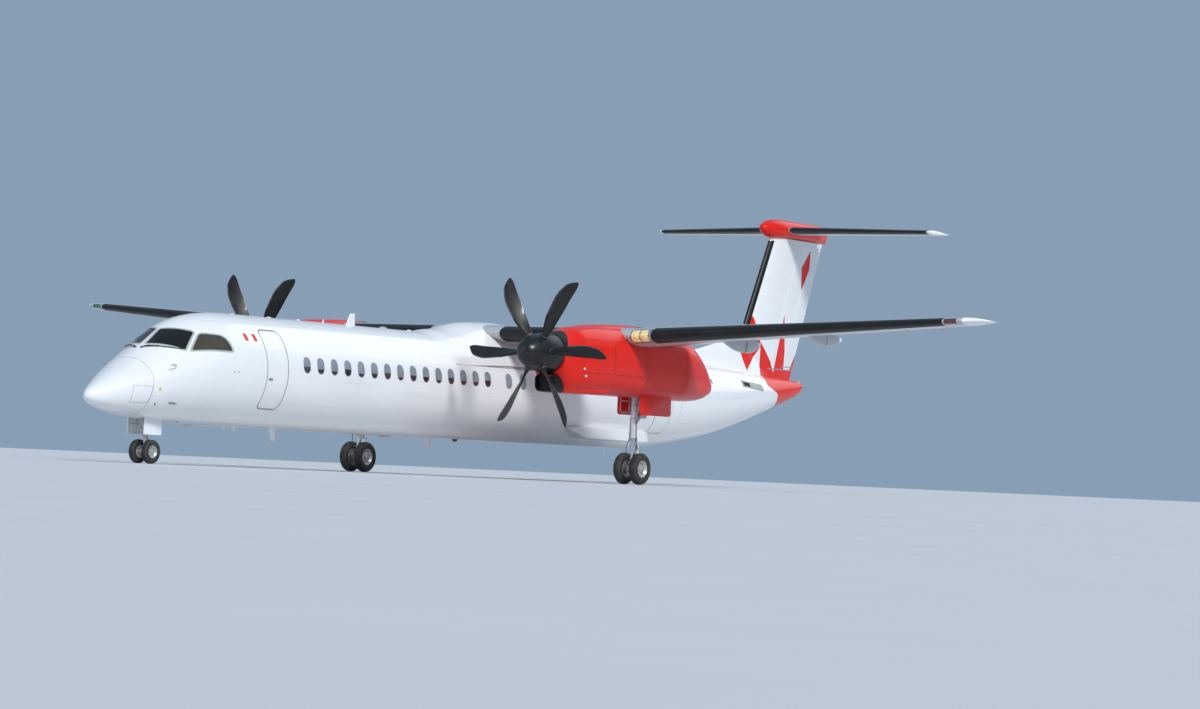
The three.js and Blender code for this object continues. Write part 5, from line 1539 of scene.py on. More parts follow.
class AIRLINER_OT_propellers(bpy.types.Operator):
    """Build the spinners and the swept propeller blades"""

    bl_idname = "airliner.propellers"
    bl_label = "Propellers"

    def execute(self, context):
        angles = [math.tau * k / BLADES + math.pi / BLADES for k in range(BLADES)]
        radii = spread(0.40, 0.64, 5) + spread(0.70, 1.95, 18) + [1.98, 2.005, 2.025, 2.040, 2.049, 2.053, 2.055]
        for mirror, name in SIDES:
            body_name = f"propeller_{name}"
            blades = bmesh.new()
            for angle in angles:
                shell(blades, [blade_ring(mirror * ENGINE_SIDE, angle, radius) for radius in radii])
            self.edges(mirror * ENGINE_SIDE, name, angles)
            piece(f"blades_{name}", blades, "propeller_black", rides=body_name, replaces=f"propeller_{name}")
            spinner = bmesh.new()
            profile = [(SPINNER_RADIUS * math.sin(a) ** 0.72, SPINNER_LENGTH * (1 - math.cos(a)) ** 0.9)
                       for a in spread(0, math.pi / 2, 28)]
            profile += [(0.495, 1.122), (0.47, 1.122), (0.45, 1.10), (0.12, 1.10), (0.0, 1.10)]
            tip = place(mirror * ENGINE_SIDE, SPINNER_TIP, SHAFT)
            lathe(spinner, profile, tip, BACKWARD, 72)
            close(spinner, 0.0002)
            piece(f"spinner_{name}_shell", spinner, "spinner_black", rides=body_name, replaces=f"spinner_{name}")
            trim = bmesh.new()
            for along, radius in ((0.43, 0.408), (1.09, 0.5005)):
                lathe(trim, [(radius - 0.012, along - 0.006), (radius + 0.0025, along - 0.003),
                             (radius + 0.0025, along + 0.003), (radius - 0.012, along + 0.006)], tip, BACKWARD, 72)
            for angle in angles:
                x, height = math.sin(angle), math.cos(angle)
                foot = place(mirror * ENGINE_SIDE + 0.40 * x, BLADE_STATION, SHAFT + 0.40 * height)
                lathe(trim, [(0.085, 0.03), (0.106, 0.036), (0.106, 0.070), (0.085, 0.078)], foot, (x, 0, height), 32)
            close(trim, 0.0002)
            piece(f"spinner_{name}_rings", trim, "edge_metal", rides=body_name, slot="propeller_paint")
        return {"FINISHED"}

    def edges(self, centre, name, angles):
        """The metal edge of the outer blade and the heated boot of the inner one."""
        for label, first, last, reach, proud, finish in (("edges", 1.02, 2.000, 0.62, 0.0012, "edge_metal"),
                                                         ("boots", 0.56, 1.005, 0.80, 0.0022, "boot_rubber")):
            bm = bmesh.new()
            part, radii = spread(math.pi - reach, math.pi + reach, 10), spread(first, last, 14)
            for angle in angles:
                rows = [blade_ring(centre, angle, radius, 0, part) for radius in radii]
                cover(bm, list(range(len(part))), list(range(len(radii))), lambda u, v: rows[v][u],
                      lambda spot: spot - blade_middle(centre, angle, spot), proud)
            piece(f"blade_{label}_{name}", bm, finish, rides=f"propeller_{name}")


# Wheels: station, tyre radius, tyre width, rim radius, distance of each wheel from the leg
NOSE_WHEEL = (2.150, 0.280, 0.165, 0.150, 0.190)
MAIN_WHEEL = (16.100, 0.405, 0.224, 0.220, 0.235)
TIE_BOLTS = 10
# A wheel's dished section: radius as a share of its rim, and distance from its middle
DISH = [(0, 1.16), (0.14, 1.15), (0.22, 1.06), (0.24, 0.90), (0.36, 0.82), (0.40, 0.42), (0.70, 0.36), (0.82, 0.60),
        (0.90, 0.96), (0.94, 1.04), (0.985, 1.03), (0.99, 0.9), (0.99, -0.9), (0.985, -1.03), (0.94, -1.04),
        (0.90, -0.96), (0.84, -0.5), (0.42, -0.42), (0.40, -0.9), (0.20, -0.95), (0, -0.95)]
# A stack of brake discs: radius and distance from the leg
BRAKE = [(0.060, 0.112), (0.150, 0.112), (0.163, 0.116), (0.163, 0.121), (0.156, 0.122), (0.156, 0.126), (0.163, 0.127),
         (0.163, 0.132), (0.156, 0.133), (0.156, 0.137), (0.163, 0.138), (0.160, 0.143), (0.060, 0.143)]
# The way of a brake hose: out from the leg, behind its middle, and height
BRAKE_HOSE = [(0.088, -0.03, -0.60), (0.098, -0.03, -0.95), (0.112, -0.03, -1.15), (0.150, -0.09, -1.36),
              (0.120, -0.08, -1.60), (0.095, -0.05, -1.76), (0.098, -0.01, -1.83)]


def tyre(bm, wheel, side):
    """A tyre with full side walls and grooves around its tread."""
    station, radius, width, rim, _ = wheel
    half, middle = width / 2, rim + 0.42 * (radius - rim)

    def crown(x):
        return middle + (radius - middle) * (1 - abs(x / half) ** 2.7) ** (1 / 2.7)

    cuts = [half * share for share in (-0.48, -0.17, 0.17, 0.48)]
    outer = []
    for x in sorted([*(half * math.sin(math.pi / 2 * k / 10) for k in range(-10, 11)), *cuts]):
        if x in cuts:
            for shift, deep in ((-0.004, 0), (-0.003, 0.005), (0.003, 0.005), (0.004, 0)):
                outer.append((crown(x + shift) - deep, x + shift))
        elif all(abs(x - spot) > 0.006 for spot in cuts):
            outer.append((crown(x), x))
    lower = [(middle - (middle - rim) * t, half * math.sqrt(1 - (0.62 * t) ** 2)) for t in (0.25, 0.5, 0.75, 0.93)]
    bead = (rim, half * 0.74)
    profile = outer + lower + [bead] + [(r, -x) for r, x in [bead] + lower[::-1]]
    lathe(bm, profile, place(side, station, radius - AXIS), (1, 0, 0), 72, loop=True)


def rod(bm, centre, radius, low, high, lips):
    """A polished rod with a raised lip at each height given."""
    profile = [(0, low), (radius, low)]
    for height in lips:
        profile += [(radius, height - 0.009), (radius + 0.0035, height - 0.006), (radius + 0.0035, height + 0.006),
                    (radius, height + 0.009)]
    lathe(bm, profile + [(radius, high), (0, high)], centre, UPRIGHT, 48)
    close(bm, 0.00005)


def band(bm, centre, radius, low, high, thick, steps):
    """A raised ring around a leg."""
    profile = [(radius - thick, low), (radius, low + 0.004), (radius, high - 0.004), (radius - thick, high)]
    lathe(bm, profile, centre, UPRIGHT, steps)


def door_ribs(bm, box, width, levels, uprights, inner, outer, bevel):
    """Level and upright ribs between the inner and the outer face of a gear door."""
    first, last, low, high = box
    spans = [(level, level + width, first, last) for level in levels]
    spans += [(low, high, at, at + width) for at in uprights]
    for under, over, front, back in spans:
        block(bm, place(inner, front, under), place(outer, back, over), bevel)


class AIRLINER_OT_landing_gear(bpy.types.Operator):
    """Build the tyres, wheels and legs"""

    bl_idname = "airliner.landing_gear"
    bl_label = "Landing gear"

    def execute(self, context):
        for wheel, centre, rides, names in (
            (NOSE_WHEEL, 0, "nose_wheels", {1: "nose_tyre_left", -1: "nose_tyre_right"}),
            (MAIN_WHEEL, ENGINE_SIDE, "main_wheels_left", {1: "main_tyre_left_outer", -1: "main_tyre_left_inner"}),
            (MAIN_WHEEL, -ENGINE_SIDE, "main_wheels_right", {-1: "main_tyre_right_outer", 1: "main_tyre_right_inner"}),
        ):
            apart = wheel[-1]
            for side, name in names.items():
                bm = bmesh.new()
                tyre(bm, wheel, centre + side * apart)
                close(bm, 0.0001)
                piece(f"{name}_rubber", bm, "tyre_rubber", rides=rides, smooth=28, replaces=name)
        for name in ("nose_strut", "nose_fork", "main_strut_left", "main_strut_right"):
            assign(name, "gear_paint")
        for name in ("nose_door_left", "nose_door_right"):
            assign(name, "body_paint")
        self.wheels(0, NOSE_WHEEL, "nose_wheels")
        self.nose_leg()
        for mirror, name in SIDES:
            self.wheels(mirror * ENGINE_SIDE, MAIN_WHEEL, f"main_wheels_{name}")
            self.main_leg(mirror, name)
        return {"FINISHED"}

    def wheels(self, centre, wheel, name):
        """Two dished alloy wheels with tie bolts, on one axle, and near-black discs of painted shade for their holes.
        """
        station, radius, width, rim, apart = wheel
        deep = 0.38 * width
        hub = place(centre, station, radius - AXIS)
        alloy, dark = bmesh.new(), bmesh.new()
        cylinder(alloy, hub - Vector((apart, 0, 0)), hub + Vector((apart, 0, 0)), rim * 0.20)
        for side in (1, -1):
            out = Vector((side, 0, 0))
            middle = hub + out * apart
            lathe(alloy, [(r * rim, x * deep) for r, x in DISH], middle, out, 64)
            for k in range(TIE_BOLTS):
                turn = math.tau * k / TIE_BOLTS
                way, between = (Vector((0, math.cos(a), math.sin(a))) for a in (turn, turn + 0.314))
                spot = middle + way * rim * 0.54 + out * deep * 0.36
                cylinder(alloy, spot, spot + out * 0.016, rim * 0.042, segments=6, bevel=0.0012)
                # Near-black discs between the bolts paint the shade in the holes of each wheel.
                spot = middle + between * rim * 0.68 + out * deep * 0.34
                cylinder(dark, spot, spot + out * deep * 0.06, rim * 0.075, segments=20, bevel=0.001)
        close(alloy, 0.00005)
        piece(f"{name}_alloy", alloy, "wheel_alloy", rides=name, replaces=name)
        piece(f"{name}_slots", dark, "dark_inside", rides=name, slot="wheel_metal")

    def main_leg(self, mirror, name):
        """Rod, rings, pins, brakes, hoses and brackets of a main leg, and the ribs inside its doors."""
        x, (station, radius, *_) = mirror * ENGINE_SIDE, MAIN_WHEEL
        chrome, metal, brackets, hoses, ribs = (bmesh.new() for _ in range(5))

        def at(side, back, height):
            return place(x + side, station + back, height)

        middle = at(0, 0, 0)
        rod(chrome, middle, 0.0665, -1.62, -1.150, (-1.594, -1.166))
        for low, high, reach in ((-1.200, -1.130, 0.101), (-1.128, -1.105, 0.108), (-0.62, -0.585, 0.100),
                                 (-0.30, -0.26, 0.100)):
            band(metal, middle, reach, low, high, 0.03, 48)
        lathe(brackets, [(0.060, -1.640), (0.078, -1.634), (0.082, -1.622), (0.060, -1.612)], middle, UPRIGHT, 40)
        for half, back, height, thick in ((0.062, 0.075, -1.105, 0.022), (0.062, 0.075, -1.785, 0.022),
                                          (0.055, 0.268, -1.40, 0.024)):
            cylinder(metal, at(-half, back, height), at(half, back, height), thick, bevel=0.003)
        for side in (1, -1):
            lathe(metal, BRAKE, at(0, 0, radius - AXIS), (side, 0, 0), 56)
            for k in range(5):
                turn = math.pi * (0.12 + 0.19 * k)
                spot = at(side * 0.114, 0.112 * math.cos(turn), radius - AXIS + 0.112 * math.sin(turn))
                cylinder(metal, spot, spot - Vector((side * 0.030, 0, 0)), 0.022, bevel=0.003)
            pipe(hoses, [at(side * out, back, height) for out, back, height in BRAKE_HOSE], 0.009, sides=8)
        block(brackets, at(-0.115, -0.03, -0.64), at(0.115, 0.03, -0.57), 0.008)
        block(brackets, at(-0.045, 0.20, -0.60), at(0.045, 0.52, -0.50), 0.02)
        cylinder(metal, at(0, 0.10, -0.62), at(0, 0.76, 0.02), 0.018)
        close(metal, 0.00005)
        piece(f"main_leg_{name}_chrome", chrome, "bright_rod")
        piece(f"main_leg_{name}_fittings", metal, "bare_metal", slot="wheel_metal")
        piece(f"main_leg_{name}_brackets", brackets, "gear_paint")
        piece(f"main_leg_{name}_hoses", hoses, "hose_black")
        for side in (-1, 1):
            inner, outer = (mirror * (ENGINE_SIDE + side * reach) for reach in (0.308, 0.3265))
            door_ribs(ribs, (15.90, 17.20, -0.47, 0.05), 0.03, (-0.47, -0.18, 0.02), (15.90, 16.30, 16.74, 17.17),
                      inner, outer, 0.003)
            for spot in (16.05, 16.60, 17.05):
                pipe(ribs, [place(mirror * (ENGINE_SIDE + side * reach), spot, height)
                            for reach, height in ((0.310, -0.02), (0.285, 0.10), (0.27, 0.26))], 0.016, sides=8)
        piece(f"gear_doors_{name}_ribs", ribs, "gear_paint")

    def nose_leg(self):
        """Rings, steering jacks, hoses, rod and taxi lamp of the nose leg, and the ribs inside its doors."""
        metal, steering, hoses, chrome, lamp, ribs = (bmesh.new() for _ in range(6))

        def at(side, back, height):
            return place(side, NOSE_WHEEL[0] + back, height)

        middle, lamp_spot = at(0, 0, 0), at(0, -0.135, -1.20)
        for low, high, reach in ((-1.655, -1.625, 0.066), (-1.30, -1.27, 0.064), (-1.10, -1.07, 0.064)):
            band(metal, middle, reach, low, high, 0.02, 40)
        for side in (1, -1):
            for bm, first, last, thick, bevel in ((steering, 0.055, 0.165, 0.033, 0.005),
                                                  (metal, 0.165, 0.178, 0.022, 0.003)):
                cylinder(bm, at(side * first, 0.02, -1.47), at(side * last, 0.02, -1.47), thick, bevel=bevel)
            line = ((0.060, 0.03, -1.00), (0.072, 0.04, -1.25), (0.085, 0.05, -1.42))
            pipe(hoses, [at(side * out, back, height) for out, back, height in line], 0.007, sides=8)
        lathe(steering, [(0.056, -1.53), (0.080, -1.52), (0.080, -1.42), (0.056, -1.41)], middle, UPRIGHT, 40)
        lathe(steering, [(0, 0.060), (0.050, 0.055), (0.082, 0.015), (0.088, -0.020), (0.083, -0.022), (0.078, -0.008),
                         (0, -0.008)], lamp_spot, BACKWARD, 40)
        block(steering, at(-0.02, -0.085, -1.225), at(0.02, -0.04, -1.175), 0.004)
        lens = [(0, -0.024), (0.05, -0.020), (0.077, -0.010), (0.077, -0.007), (0, -0.007)]
        lathe(lamp, lens, lamp_spot, BACKWARD, 40)
        rod(chrome, middle, 0.0435, -1.90, -1.735, (-1.80,))
        for bm in (metal, lamp, steering):
            close(bm, 0.00005)
        piece("nose_leg_fittings", metal, "bare_metal", slot="wheel_metal")
        piece("nose_leg_steering", steering, "gear_paint")
        piece("nose_leg_hoses", hoses, "hose_black")
        piece("nose_leg_chrome", chrome, "bright_rod", rides="nose_fork")
        piece("taxi_lamp", lamp, "lamp_clear")
        for side in (-1, 1):
            door_ribs(ribs, (1.84, 2.37, -1.59, -1.20), 0.02, (-1.59, -1.40), (1.84, 2.10, 2.35),
                      side * 0.230, side * 0.2415, 0.002)
        piece("nose_door_ribs", ribs, "gear_paint")


def assign(name, finish):
    """Gives a node of the model a new material."""
    obj = frame["nodes"][name]
    obj.data.materials.clear()
    obj.data.materials.append(finishes[finish])


SEAT_SIDE = 0.43


class AIRLINER_OT_cockpit(bpy.types.Operator):
    """Build the flight deck: lining, floor, panel, controls and seats"""

    bl_idname = "airliner.cockpit"
    bl_label = "Flight deck"

    def execute(self, context):
        lining, floor = bmesh.new(), bmesh.new()
        sheet(lining, spread(0, math.tau, 72), spread(1.50, 3.98, 34), lambda turn, at: body.point(turn, at, 0.062))
        close(lining)
        cap(lining)
        bmesh.ops.recalc_face_normals(lining, faces=lining.faces)
        for side, _ in SIDES:
            for corners, rounding in PANES:
                faces = near(lining, side, *extent(corners, (1, 2)), (0.3, 0.25))
                hole = carve(lining, faces, pane_planes(corners, rounding, 0.05, side))
                bmesh.ops.delete(lining, geom=hole, context="FACES")
        bmesh.ops.reverse_faces(lining, faces=lining.faces)
        piece("flight_deck_lining", lining, "lining_grey")
        for low, high, bevel in (((-0.86, 1.95, -0.90), (0.86, 3.95, -0.862), 0.004),
                                 ((-0.62, 3.90, -0.86), (-0.36, 3.96, 0.95), 0.01),
                                 ((0.36, 3.90, -0.86), (0.62, 3.96, 0.95), 0.01),
                                 ((-0.34, 3.93, -0.86), (0.34, 3.96, 0.90), 0.01)):
            block(floor, place(*low), place(*high), bevel)
        piece("flight_deck_floor", floor, "panel_grey")
        self.panel()
        self.seats()
        self.wipers()
        return {"FINISHED"}

    def panel(self):
        """Instrument panel with its hood, screens and knobs, the levers and the two control columns."""
        low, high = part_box("instrument_panel")
        bm, screens, knobs = bmesh.new(), bmesh.new(), bmesh.new()
        face = high[1] - 0.005

        def at(side, back, height):
            return side, face + back, AXIS + height

        block(bm, (-0.60, face - 0.09, low[2] + 0.01), (0.60, face - 0.01, high[2] - 0.03), 0.012)
        block(bm, (-0.64, face - 0.26, high[2] - 0.035), (0.64, face, high[2] - 0.003), 0.014, segments=3)
        block(bm, at(-0.14, -0.02, -0.86), at(0.14, 0.62, -0.34), 0.02)
        for k in range(5):
            x = -0.46 + 0.23 * k
            block(screens, (x - 0.095, face - 0.012, low[2] + 0.07), (x + 0.095, face - 0.004, low[2] + 0.23), 0.003)
        for k in range(8):
            x, height = -0.50 + 0.143 * k, low[2] + 0.045
            cylinder(knobs, (x, face - 0.012, height), (x, face + 0.012, height), 0.010, bevel=0.002)
        for x in (-0.07, -0.025, 0.025, 0.07):
            cylinder(knobs, at(x, 0.24, -0.345), at(x, 0.20, -0.22), 0.007)
            dome(knobs, at(x, 0.20, -0.21), (0.014, 0.02, 0.016), 12)
        for side, _ in SIDES:
            x = SEAT_SIDE * side
            pipe(knobs, [at(x, 0.30, -0.84), at(x, 0.28, -0.55), at(x, 0.24, -0.36)], 0.022)
            pipe(knobs, [at(x - 0.16, 0.24, -0.20), at(x - 0.15, 0.25, -0.30), at(x, 0.25, -0.35),
                         at(x + 0.15, 0.25, -0.30), at(x + 0.16, 0.24, -0.20)], 0.014)
        piece("panel_housing", bm, "panel_grey", replaces="instrument_panel")
        piece("panel_screens", screens, "screen_glass")
        piece("panel_controls", knobs, "hose_black", slot="cabin_trim")

    def seats(self):
        """Padded seats on their frames, with harness straps."""
        frames, belts = bmesh.new(), bmesh.new()
        for side, name in SIDES:
            x = SEAT_SIDE * side
            lean = Matrix.Translation(place(x, 3.315, -0.06)) @ Matrix.Rotation(math.radians(-11), 4, "X")
            for label, half, spot, turn, thin in (
                ("seat", (0.225, 0.245, 0.062), place(x, 2.995, -0.455), Matrix.Identity(4), 2),
                ("back", (0.215, 0.062, 0.34), (0, 0, -0.10), lean, 1),
                ("head", (0.125, 0.048, 0.10), (0, 0, 0.36), lean, 1),
                ("side_left", (0.036, 0.052, 0.24), (0.205, -0.040, -0.10), lean, 1),
                ("side_right", (0.036, 0.052, 0.24), (-0.205, -0.040, -0.10), lean, 1),
            ):
                pad = bmesh.new()
                cushion(pad, half, thin, turn @ Matrix.Translation(spot))
                made = piece(f"pilot_{name}_{label}_pad", pad, "seat_cloth", replaces="cockpit_seats")
            block(frames, place(x - 0.11, 2.86, -0.862), place(x + 0.11, 3.19, -0.50), 0.012)
            for offset in (-0.26, 0.22):
                block(frames, place(x + offset, 2.95, -0.27), place(x + offset + 0.04, 3.28, -0.225), 0.014, segments=3)
            for offset in (-0.09, 0.09):
                pipe(belts, [place(x + offset * share, station, height) for share, station, height in (
                    (1, 3.37, 0.235), (0.8, 3.255, 0.10), (0.5, 3.20, -0.20), (0, 3.12, -0.39))], 0.010, sides=6)
        block(frames, place(-0.78, 2.42, -0.862), place(0.78, 3.45, -0.84), 0.004)
        piece("pilot_seat_frames", frames, "panel_grey")
        piece("pilot_harness", belts, "lining_grey")

    def wipers(self):
        """Each wiper lies level under its windshield, from a pivot near the middle of the nose."""
        bm = bmesh.new()
        for side, _ in SIDES:
            slope = Vector((0.35 * side, -0.62, 0.70)).normalized()

            def spot(x, height, off):
                at = next(k * 0.004 for k in range(350, 900) if body.side(k * 0.004, height) >= x)
                return place(side * x, at, height) + slope * off

            for row, radius in (
                (((0.13, 0.405, 0.014), (0.34, 0.418, 0.024), (0.60, 0.405, 0.024), (0.86, 0.375, 0.016)), 0.012),
                (((0.10, 0.385, 0.010), (0.22, 0.400, 0.050), (0.45, 0.412, 0.040)), 0.010),
            ):
                pipe(bm, [spot(*each) for each in row], radius, sides=8)
            dome(bm, spot(0.10, 0.385, 0.0), (0.035, 0.035, 0.030), 16)
        piece("windshield_wipers", bm, "hose_black")


# Height at which aerials and domes stand on the skin, above and below the axis
FOOT_HEIGHT = 1.343


class AIRLINER_OT_fittings(bpy.types.Operator):
    """Build the aerials, probes, handles, vents and small lamps"""

    bl_idname = "airliner.fittings"
    bl_label = "Fittings"

    def execute(self, context):
        self.aerials()
        self.probes()
        self.marks(context)
        self.wicks()
        return {"FINISHED"}

    def aerials(self):
        """Blade aerials, their domes and pads, the beacon under the belly and the tail lamps."""
        bm, dark, lamps, tip = (bmesh.new() for _ in range(4))
        for station, length, root, end, thick in (
            (9.550, 0.380, 1.330, 1.640, 0.030), (6.700, 0.260, -1.330, -1.628, 0.030),
            (13.080, 0.280, -1.330, -1.628, 0.030), (5.290, 0.140, -1.335, -1.440, 0.018),
            (4.950, 0.090, -1.335, -1.400, 0.014), (21.30, 0.170, -1.335, -1.455, 0.018),
            (8.600, 0.070, 1.335, 1.430, 0.014),
        ):
            rows = []
            for u in (0, 0.3, 0.6, 0.85, 0.95, 1):
                front, back = station + 0.45 * length * u, station + length * (1 - 0.05 * u)
                depth = thick * (1 - 0.45 * u) * (0.3 if u == 1 else 1)
                rows.append([place(x, at, root + (end - root) * u) for at, x in thin_ring(front, back, depth, 8)])
            shell(bm, rows)
            foot = math.copysign(FOOT_HEIGHT, root)
            dome(bm, place(0, station + length / 2, foot), (0.045, length * 0.62, 0.012))
        for target, station, height, radii in (
            (bm, 5.10, FOOT_HEIGHT, (0.04, 0.07, 0.022)), (bm, 6.50, FOOT_HEIGHT, (0.045, 0.08, 0.024)),
            (bm, 7.65, FOOT_HEIGHT, (0.04, 0.06, 0.028)), (bm, 12.20, FOOT_HEIGHT, (0.05, 0.09, 0.030)),
            (dark, 11.10, FOOT_HEIGHT, (0.07, 0.15, 0.045)), (dark, 3.62, -FOOT_HEIGHT, (0.06, 0.18, 0.03)),
            (dark, 10.35, -FOOT_HEIGHT, (0.07, 0.22, 0.05)), (dark, 11.35, -FOOT_HEIGHT, (0.07, 0.22, 0.05)),
        ):
            dome(target, place(0, station, height), radii)
        piece("aerials", bm, "body_paint")
        piece("aerial_pads", dark, "frame_grey")
        lathe(lamps, [(0, 0.010), (0.085, 0.010), (0.085, -0.008), (0.078, -0.012), (0.066, -0.013), (0.064, -0.030),
                      (0.054, -0.048), (0.034, -0.058), (0, -0.061)], place(0, 14.40, -BODY_RADIUS), UPRIGHT, 32)
        close(lamps, 0.0001)
        piece("belly_beacon", lamps, "lamp_red")
        dome(tip, place(0, 31.665, 0.905), (0.05, 0.033, 0.034))
        lathe(tip, [(0.0, 0.0), (0.05, 0.0), (0.05, 0.012), (0.0, 0.014)], place(0, 31.683, 0.745), BACKWARD, 24)
        close(tip, 0.0001)
        piece("tail_lamp", tip, "lamp_clear")

    def probes(self):
        """Pitot tubes, static ports and drains around the nose."""
        metal, dark = bmesh.new(), bmesh.new()
        for side, _ in SIDES:
            for station, height in ((1.95, 0.0), (2.05, -0.86)):
                foot = on_side(side, station, height, -0.01)
                out = Vector((side, 0, -0.15)).normalized()
                knee = foot + out * 0.11
                bend, neck, mast, nose = (knee + Vector((0, -back, 0)) for back in (0.03, 0.10, 0.08, 0.25))
                pipe(metal, [foot, foot + out * 0.06, bend, neck], 0.011)
                cylinder(metal, mast, nose, 0.012, tip=0.008, bevel=0.001)
                dome(metal, foot, (0.012, 0.045, 0.022))
            for station, height in ((3.68, -0.07), (3.84, -0.07)):
                lathe(metal, [(0, -0.004), (0.022, -0.004), (0.022, 0.0015), (0.012, 0.0022), (0.006, 0.0022),
                              (0.005, -0.002), (0, -0.002)],
                      on_side(side, station, height), (side, 0, 0.1 * height), 28)
            lathe(dark, [(0, -0.004), (0.024, -0.004), (0.024, 0.003), (0.014, 0.006), (0.012, 0.020), (0.009, 0.020),
                         (0.008, 0.004), (0, 0.004)], on_side(side, 1.58, -0.92), (side, -0.2, -0.4), 20)
            dome(metal, place(0.28 * side, 2.92, -1.31), (0.03, 0.05, 0.03))
        close(metal, 0.00005)
        close(dark, 0.00005)
        piece("probes", metal, "bare_metal")
        piece("nose_drains", dark, "hose_black")

    def lines(self):
        """Fine painted and sealed lines that follow the skin."""
        bm = bmesh.new()
        outline_line(bm, 1, *ENTRY, 0.012, 0.020)
        for side, station0, station1, low, high, _ in DOORS[:3]:
            outline_line(bm, side, station0, station1, low, high, DOOR_CORNER, 0.020, 0.016)
        cover(bm, spread(0, math.tau, 120), (1.364, 1.370), lambda turn, at: body.point(turn, at),
              lambda spot: Vector((spot.x, 0, spot.z - AXIS + 0.55)), 0.0012)
        for side, _ in SIDES:
            frame_line(bm, side, 0.90, 1.36, -0.91, -0.52, 0.006)
            frame_line(bm, side, 20.52, 21.05, 0.84, 0.98, 0.008)
            patch(bm, side, spread(12.60, 19.30, 60), (0.543, 0.557), 0.005)
        piece("skin_lines", bm, "line_grey")

    def shades(self, context):
        """Pale blue-grey blinds drawn most of the way down inside the cabin windows; their glossy tone also paints in
        the sky's reflection in the glass.
        """
        bm = bmesh.new()
        sizes = context.scene.airliner_sizes
        top, wide = 0.397, sizes.window_width / 2 - 0.004
        for side, _ in SIDES:
            for k, station in enumerate(window_stations(sizes)):
                by_exit = EXITS[0] - 0.13 < station < EXITS[1] + 0.13
                level = 0.038 if by_exit else 0.145 + 0.045 * math.sin(2.3 * k + side)

                def spot(across, height):
                    over = max(height - (top - wide), 0)
                    reach = math.sqrt(max(wide**2 - over**2, 0))
                    return place(side * (body.side(station, height) - 0.0065), station + across * reach, height)

                heights = spread(max(level, 0.160 - 0.9 * wide), top - wide, 4)
                heights += [top - wide * c for c in (0.75, 0.5, 0.3, 0.15, 0.05, 0.001)]
                cover(bm, (-1, -0.5, 0, 0.5, 1), heights, spot, lambda spot: Vector((side, 0, 0)), 0.0012)
        piece("blinds_and_sky_reflection", bm, "blind_pale")

    def marks(self, context):
        """Small painted marks, vents with their frames and painted shade in their openings, and the entry door's
        handle.
        """
        yellow, red, dark, grey, recess, handle = (bmesh.new() for _ in range(6))
        patch(yellow, 1, spread(1.515, 1.585, 3), spread(-0.615, -0.545, 3))
        for side, _ in SIDES:
            for first in (4.25, 4.57):
                patch(red, side, spread(first, first + 0.12, 3), spread(0.69, 0.86, 8))
            # Near-black patches paint the shade inside the vents.
            patch(dark, side, spread(25.12, 25.18, 2), spread(0.60, 0.74, 4))
            for station in (22.02, 23.33):
                patch(grey, side, spread(station, station + 0.16, 4), spread(0.04, 0.10, 3), 0.003)
                patch(dark, side, spread(station + 0.02, station + 0.14, 4), spread(0.055, 0.085, 3), 0.005)

        def slope(station, height):
            station += 0.35 * (0.79 - height)
            height -= 0.055 * (station - 27.15)
            return on_side(1, station, height)

        # The tail scoop: a grey plate with ribs on a near-black plate, and near black in its mouth as painted shade.
        for bm, first, last, low, high, proud in (
            (dark, 27.15, 28.60, 0.615, 0.785, 0.003), (grey, 27.17, 28.58, 0.625, 0.775, 0.006),
            (dark, 27.24, 27.68, 0.645, 0.755, 0.010),
            *((grey, at, at + 0.03, 0.640, 0.760, 0.013) for at in spread(27.78, 28.43, 6)),
        ):
            cover(bm, spread(first, last, 2 + int((last - first) / 0.1)), spread(low, high, 6), slope,
                  lambda spot: Vector((1, 0, 0)), proud)
        self.lines()
        self.shades(context)
        piece("yellow_mark", yellow, "yellow_mark")
        piece("side_bars", red, "trim_paint")
        piece("vent_openings", dark, "dark_inside")
        piece("vent_frames", grey, "frame_grey")
        patch(recess, 1, spread(4.955, 5.105, 4), spread(-0.22, -0.15, 4), 0.0025)
        x = body.side(5.03, -0.185)
        block(handle, place(x + 0.001, 4.970, -0.198), place(x + 0.012, 5.090, -0.172), 0.004)
        piece("door_handle_recess", recess, "window_rim", rides="passenger_door", slot="cabin_trim")
        piece("door_handle", handle, "bare_metal", rides="passenger_door")

    def wicks(self):
        """Static wicks behind the ailerons and the elevators."""
        for name, foil, spans in (("aileron", outer_wing, (10.9, 11.7, 12.5, 13.2)),
                                  ("elevator", tail, (2.6, 3.4, 4.2))):
            for mirror, side in SIDES:
                bm = bmesh.new()
                for span in spans:
                    edge = foil.point(span, 1, 0)
                    start = Vector((mirror * edge.x, edge.y - 0.03, edge.z))
                    cylinder(bm, start, start + Vector((0, 0.17, 0)), 0.0035, tip=0.002, segments=8)
                    cylinder(bm, start, start + Vector((0, 0.05, 0)), 0.006, tip=0.004, segments=8)
                piece(f"{name}_{side}_wicks", bm, "hose_black", rides=f"{name}_{side}")


# Suns: name, direction, angle across in degrees, strength
SUNS = [
    ("key", (0.66, -0.42, 0.62), 11, 2.5),
    ("fill", (-0.5, -0.8, 0.35), 40, 0.3),
    ("back", (0.1, 0.9, 0.5), 40, 0.4),
]
SKY_COLOUR, SKY_STRENGTH = (0.48, 0.66, 0.88, 1), 0.52
FLOOR_SIZE = 450
# The photograph's camera: azimuth, elevation and roll in degrees, and its lens and place for a distance of 100 m
CAMERA_ANGLES = (33.66, -1.79, 2.59)
CAMERA_LENS = 113.97
CAMERA_SPOT = (57.52, -81.80)
CAMERA_HEIGHT = 0.25


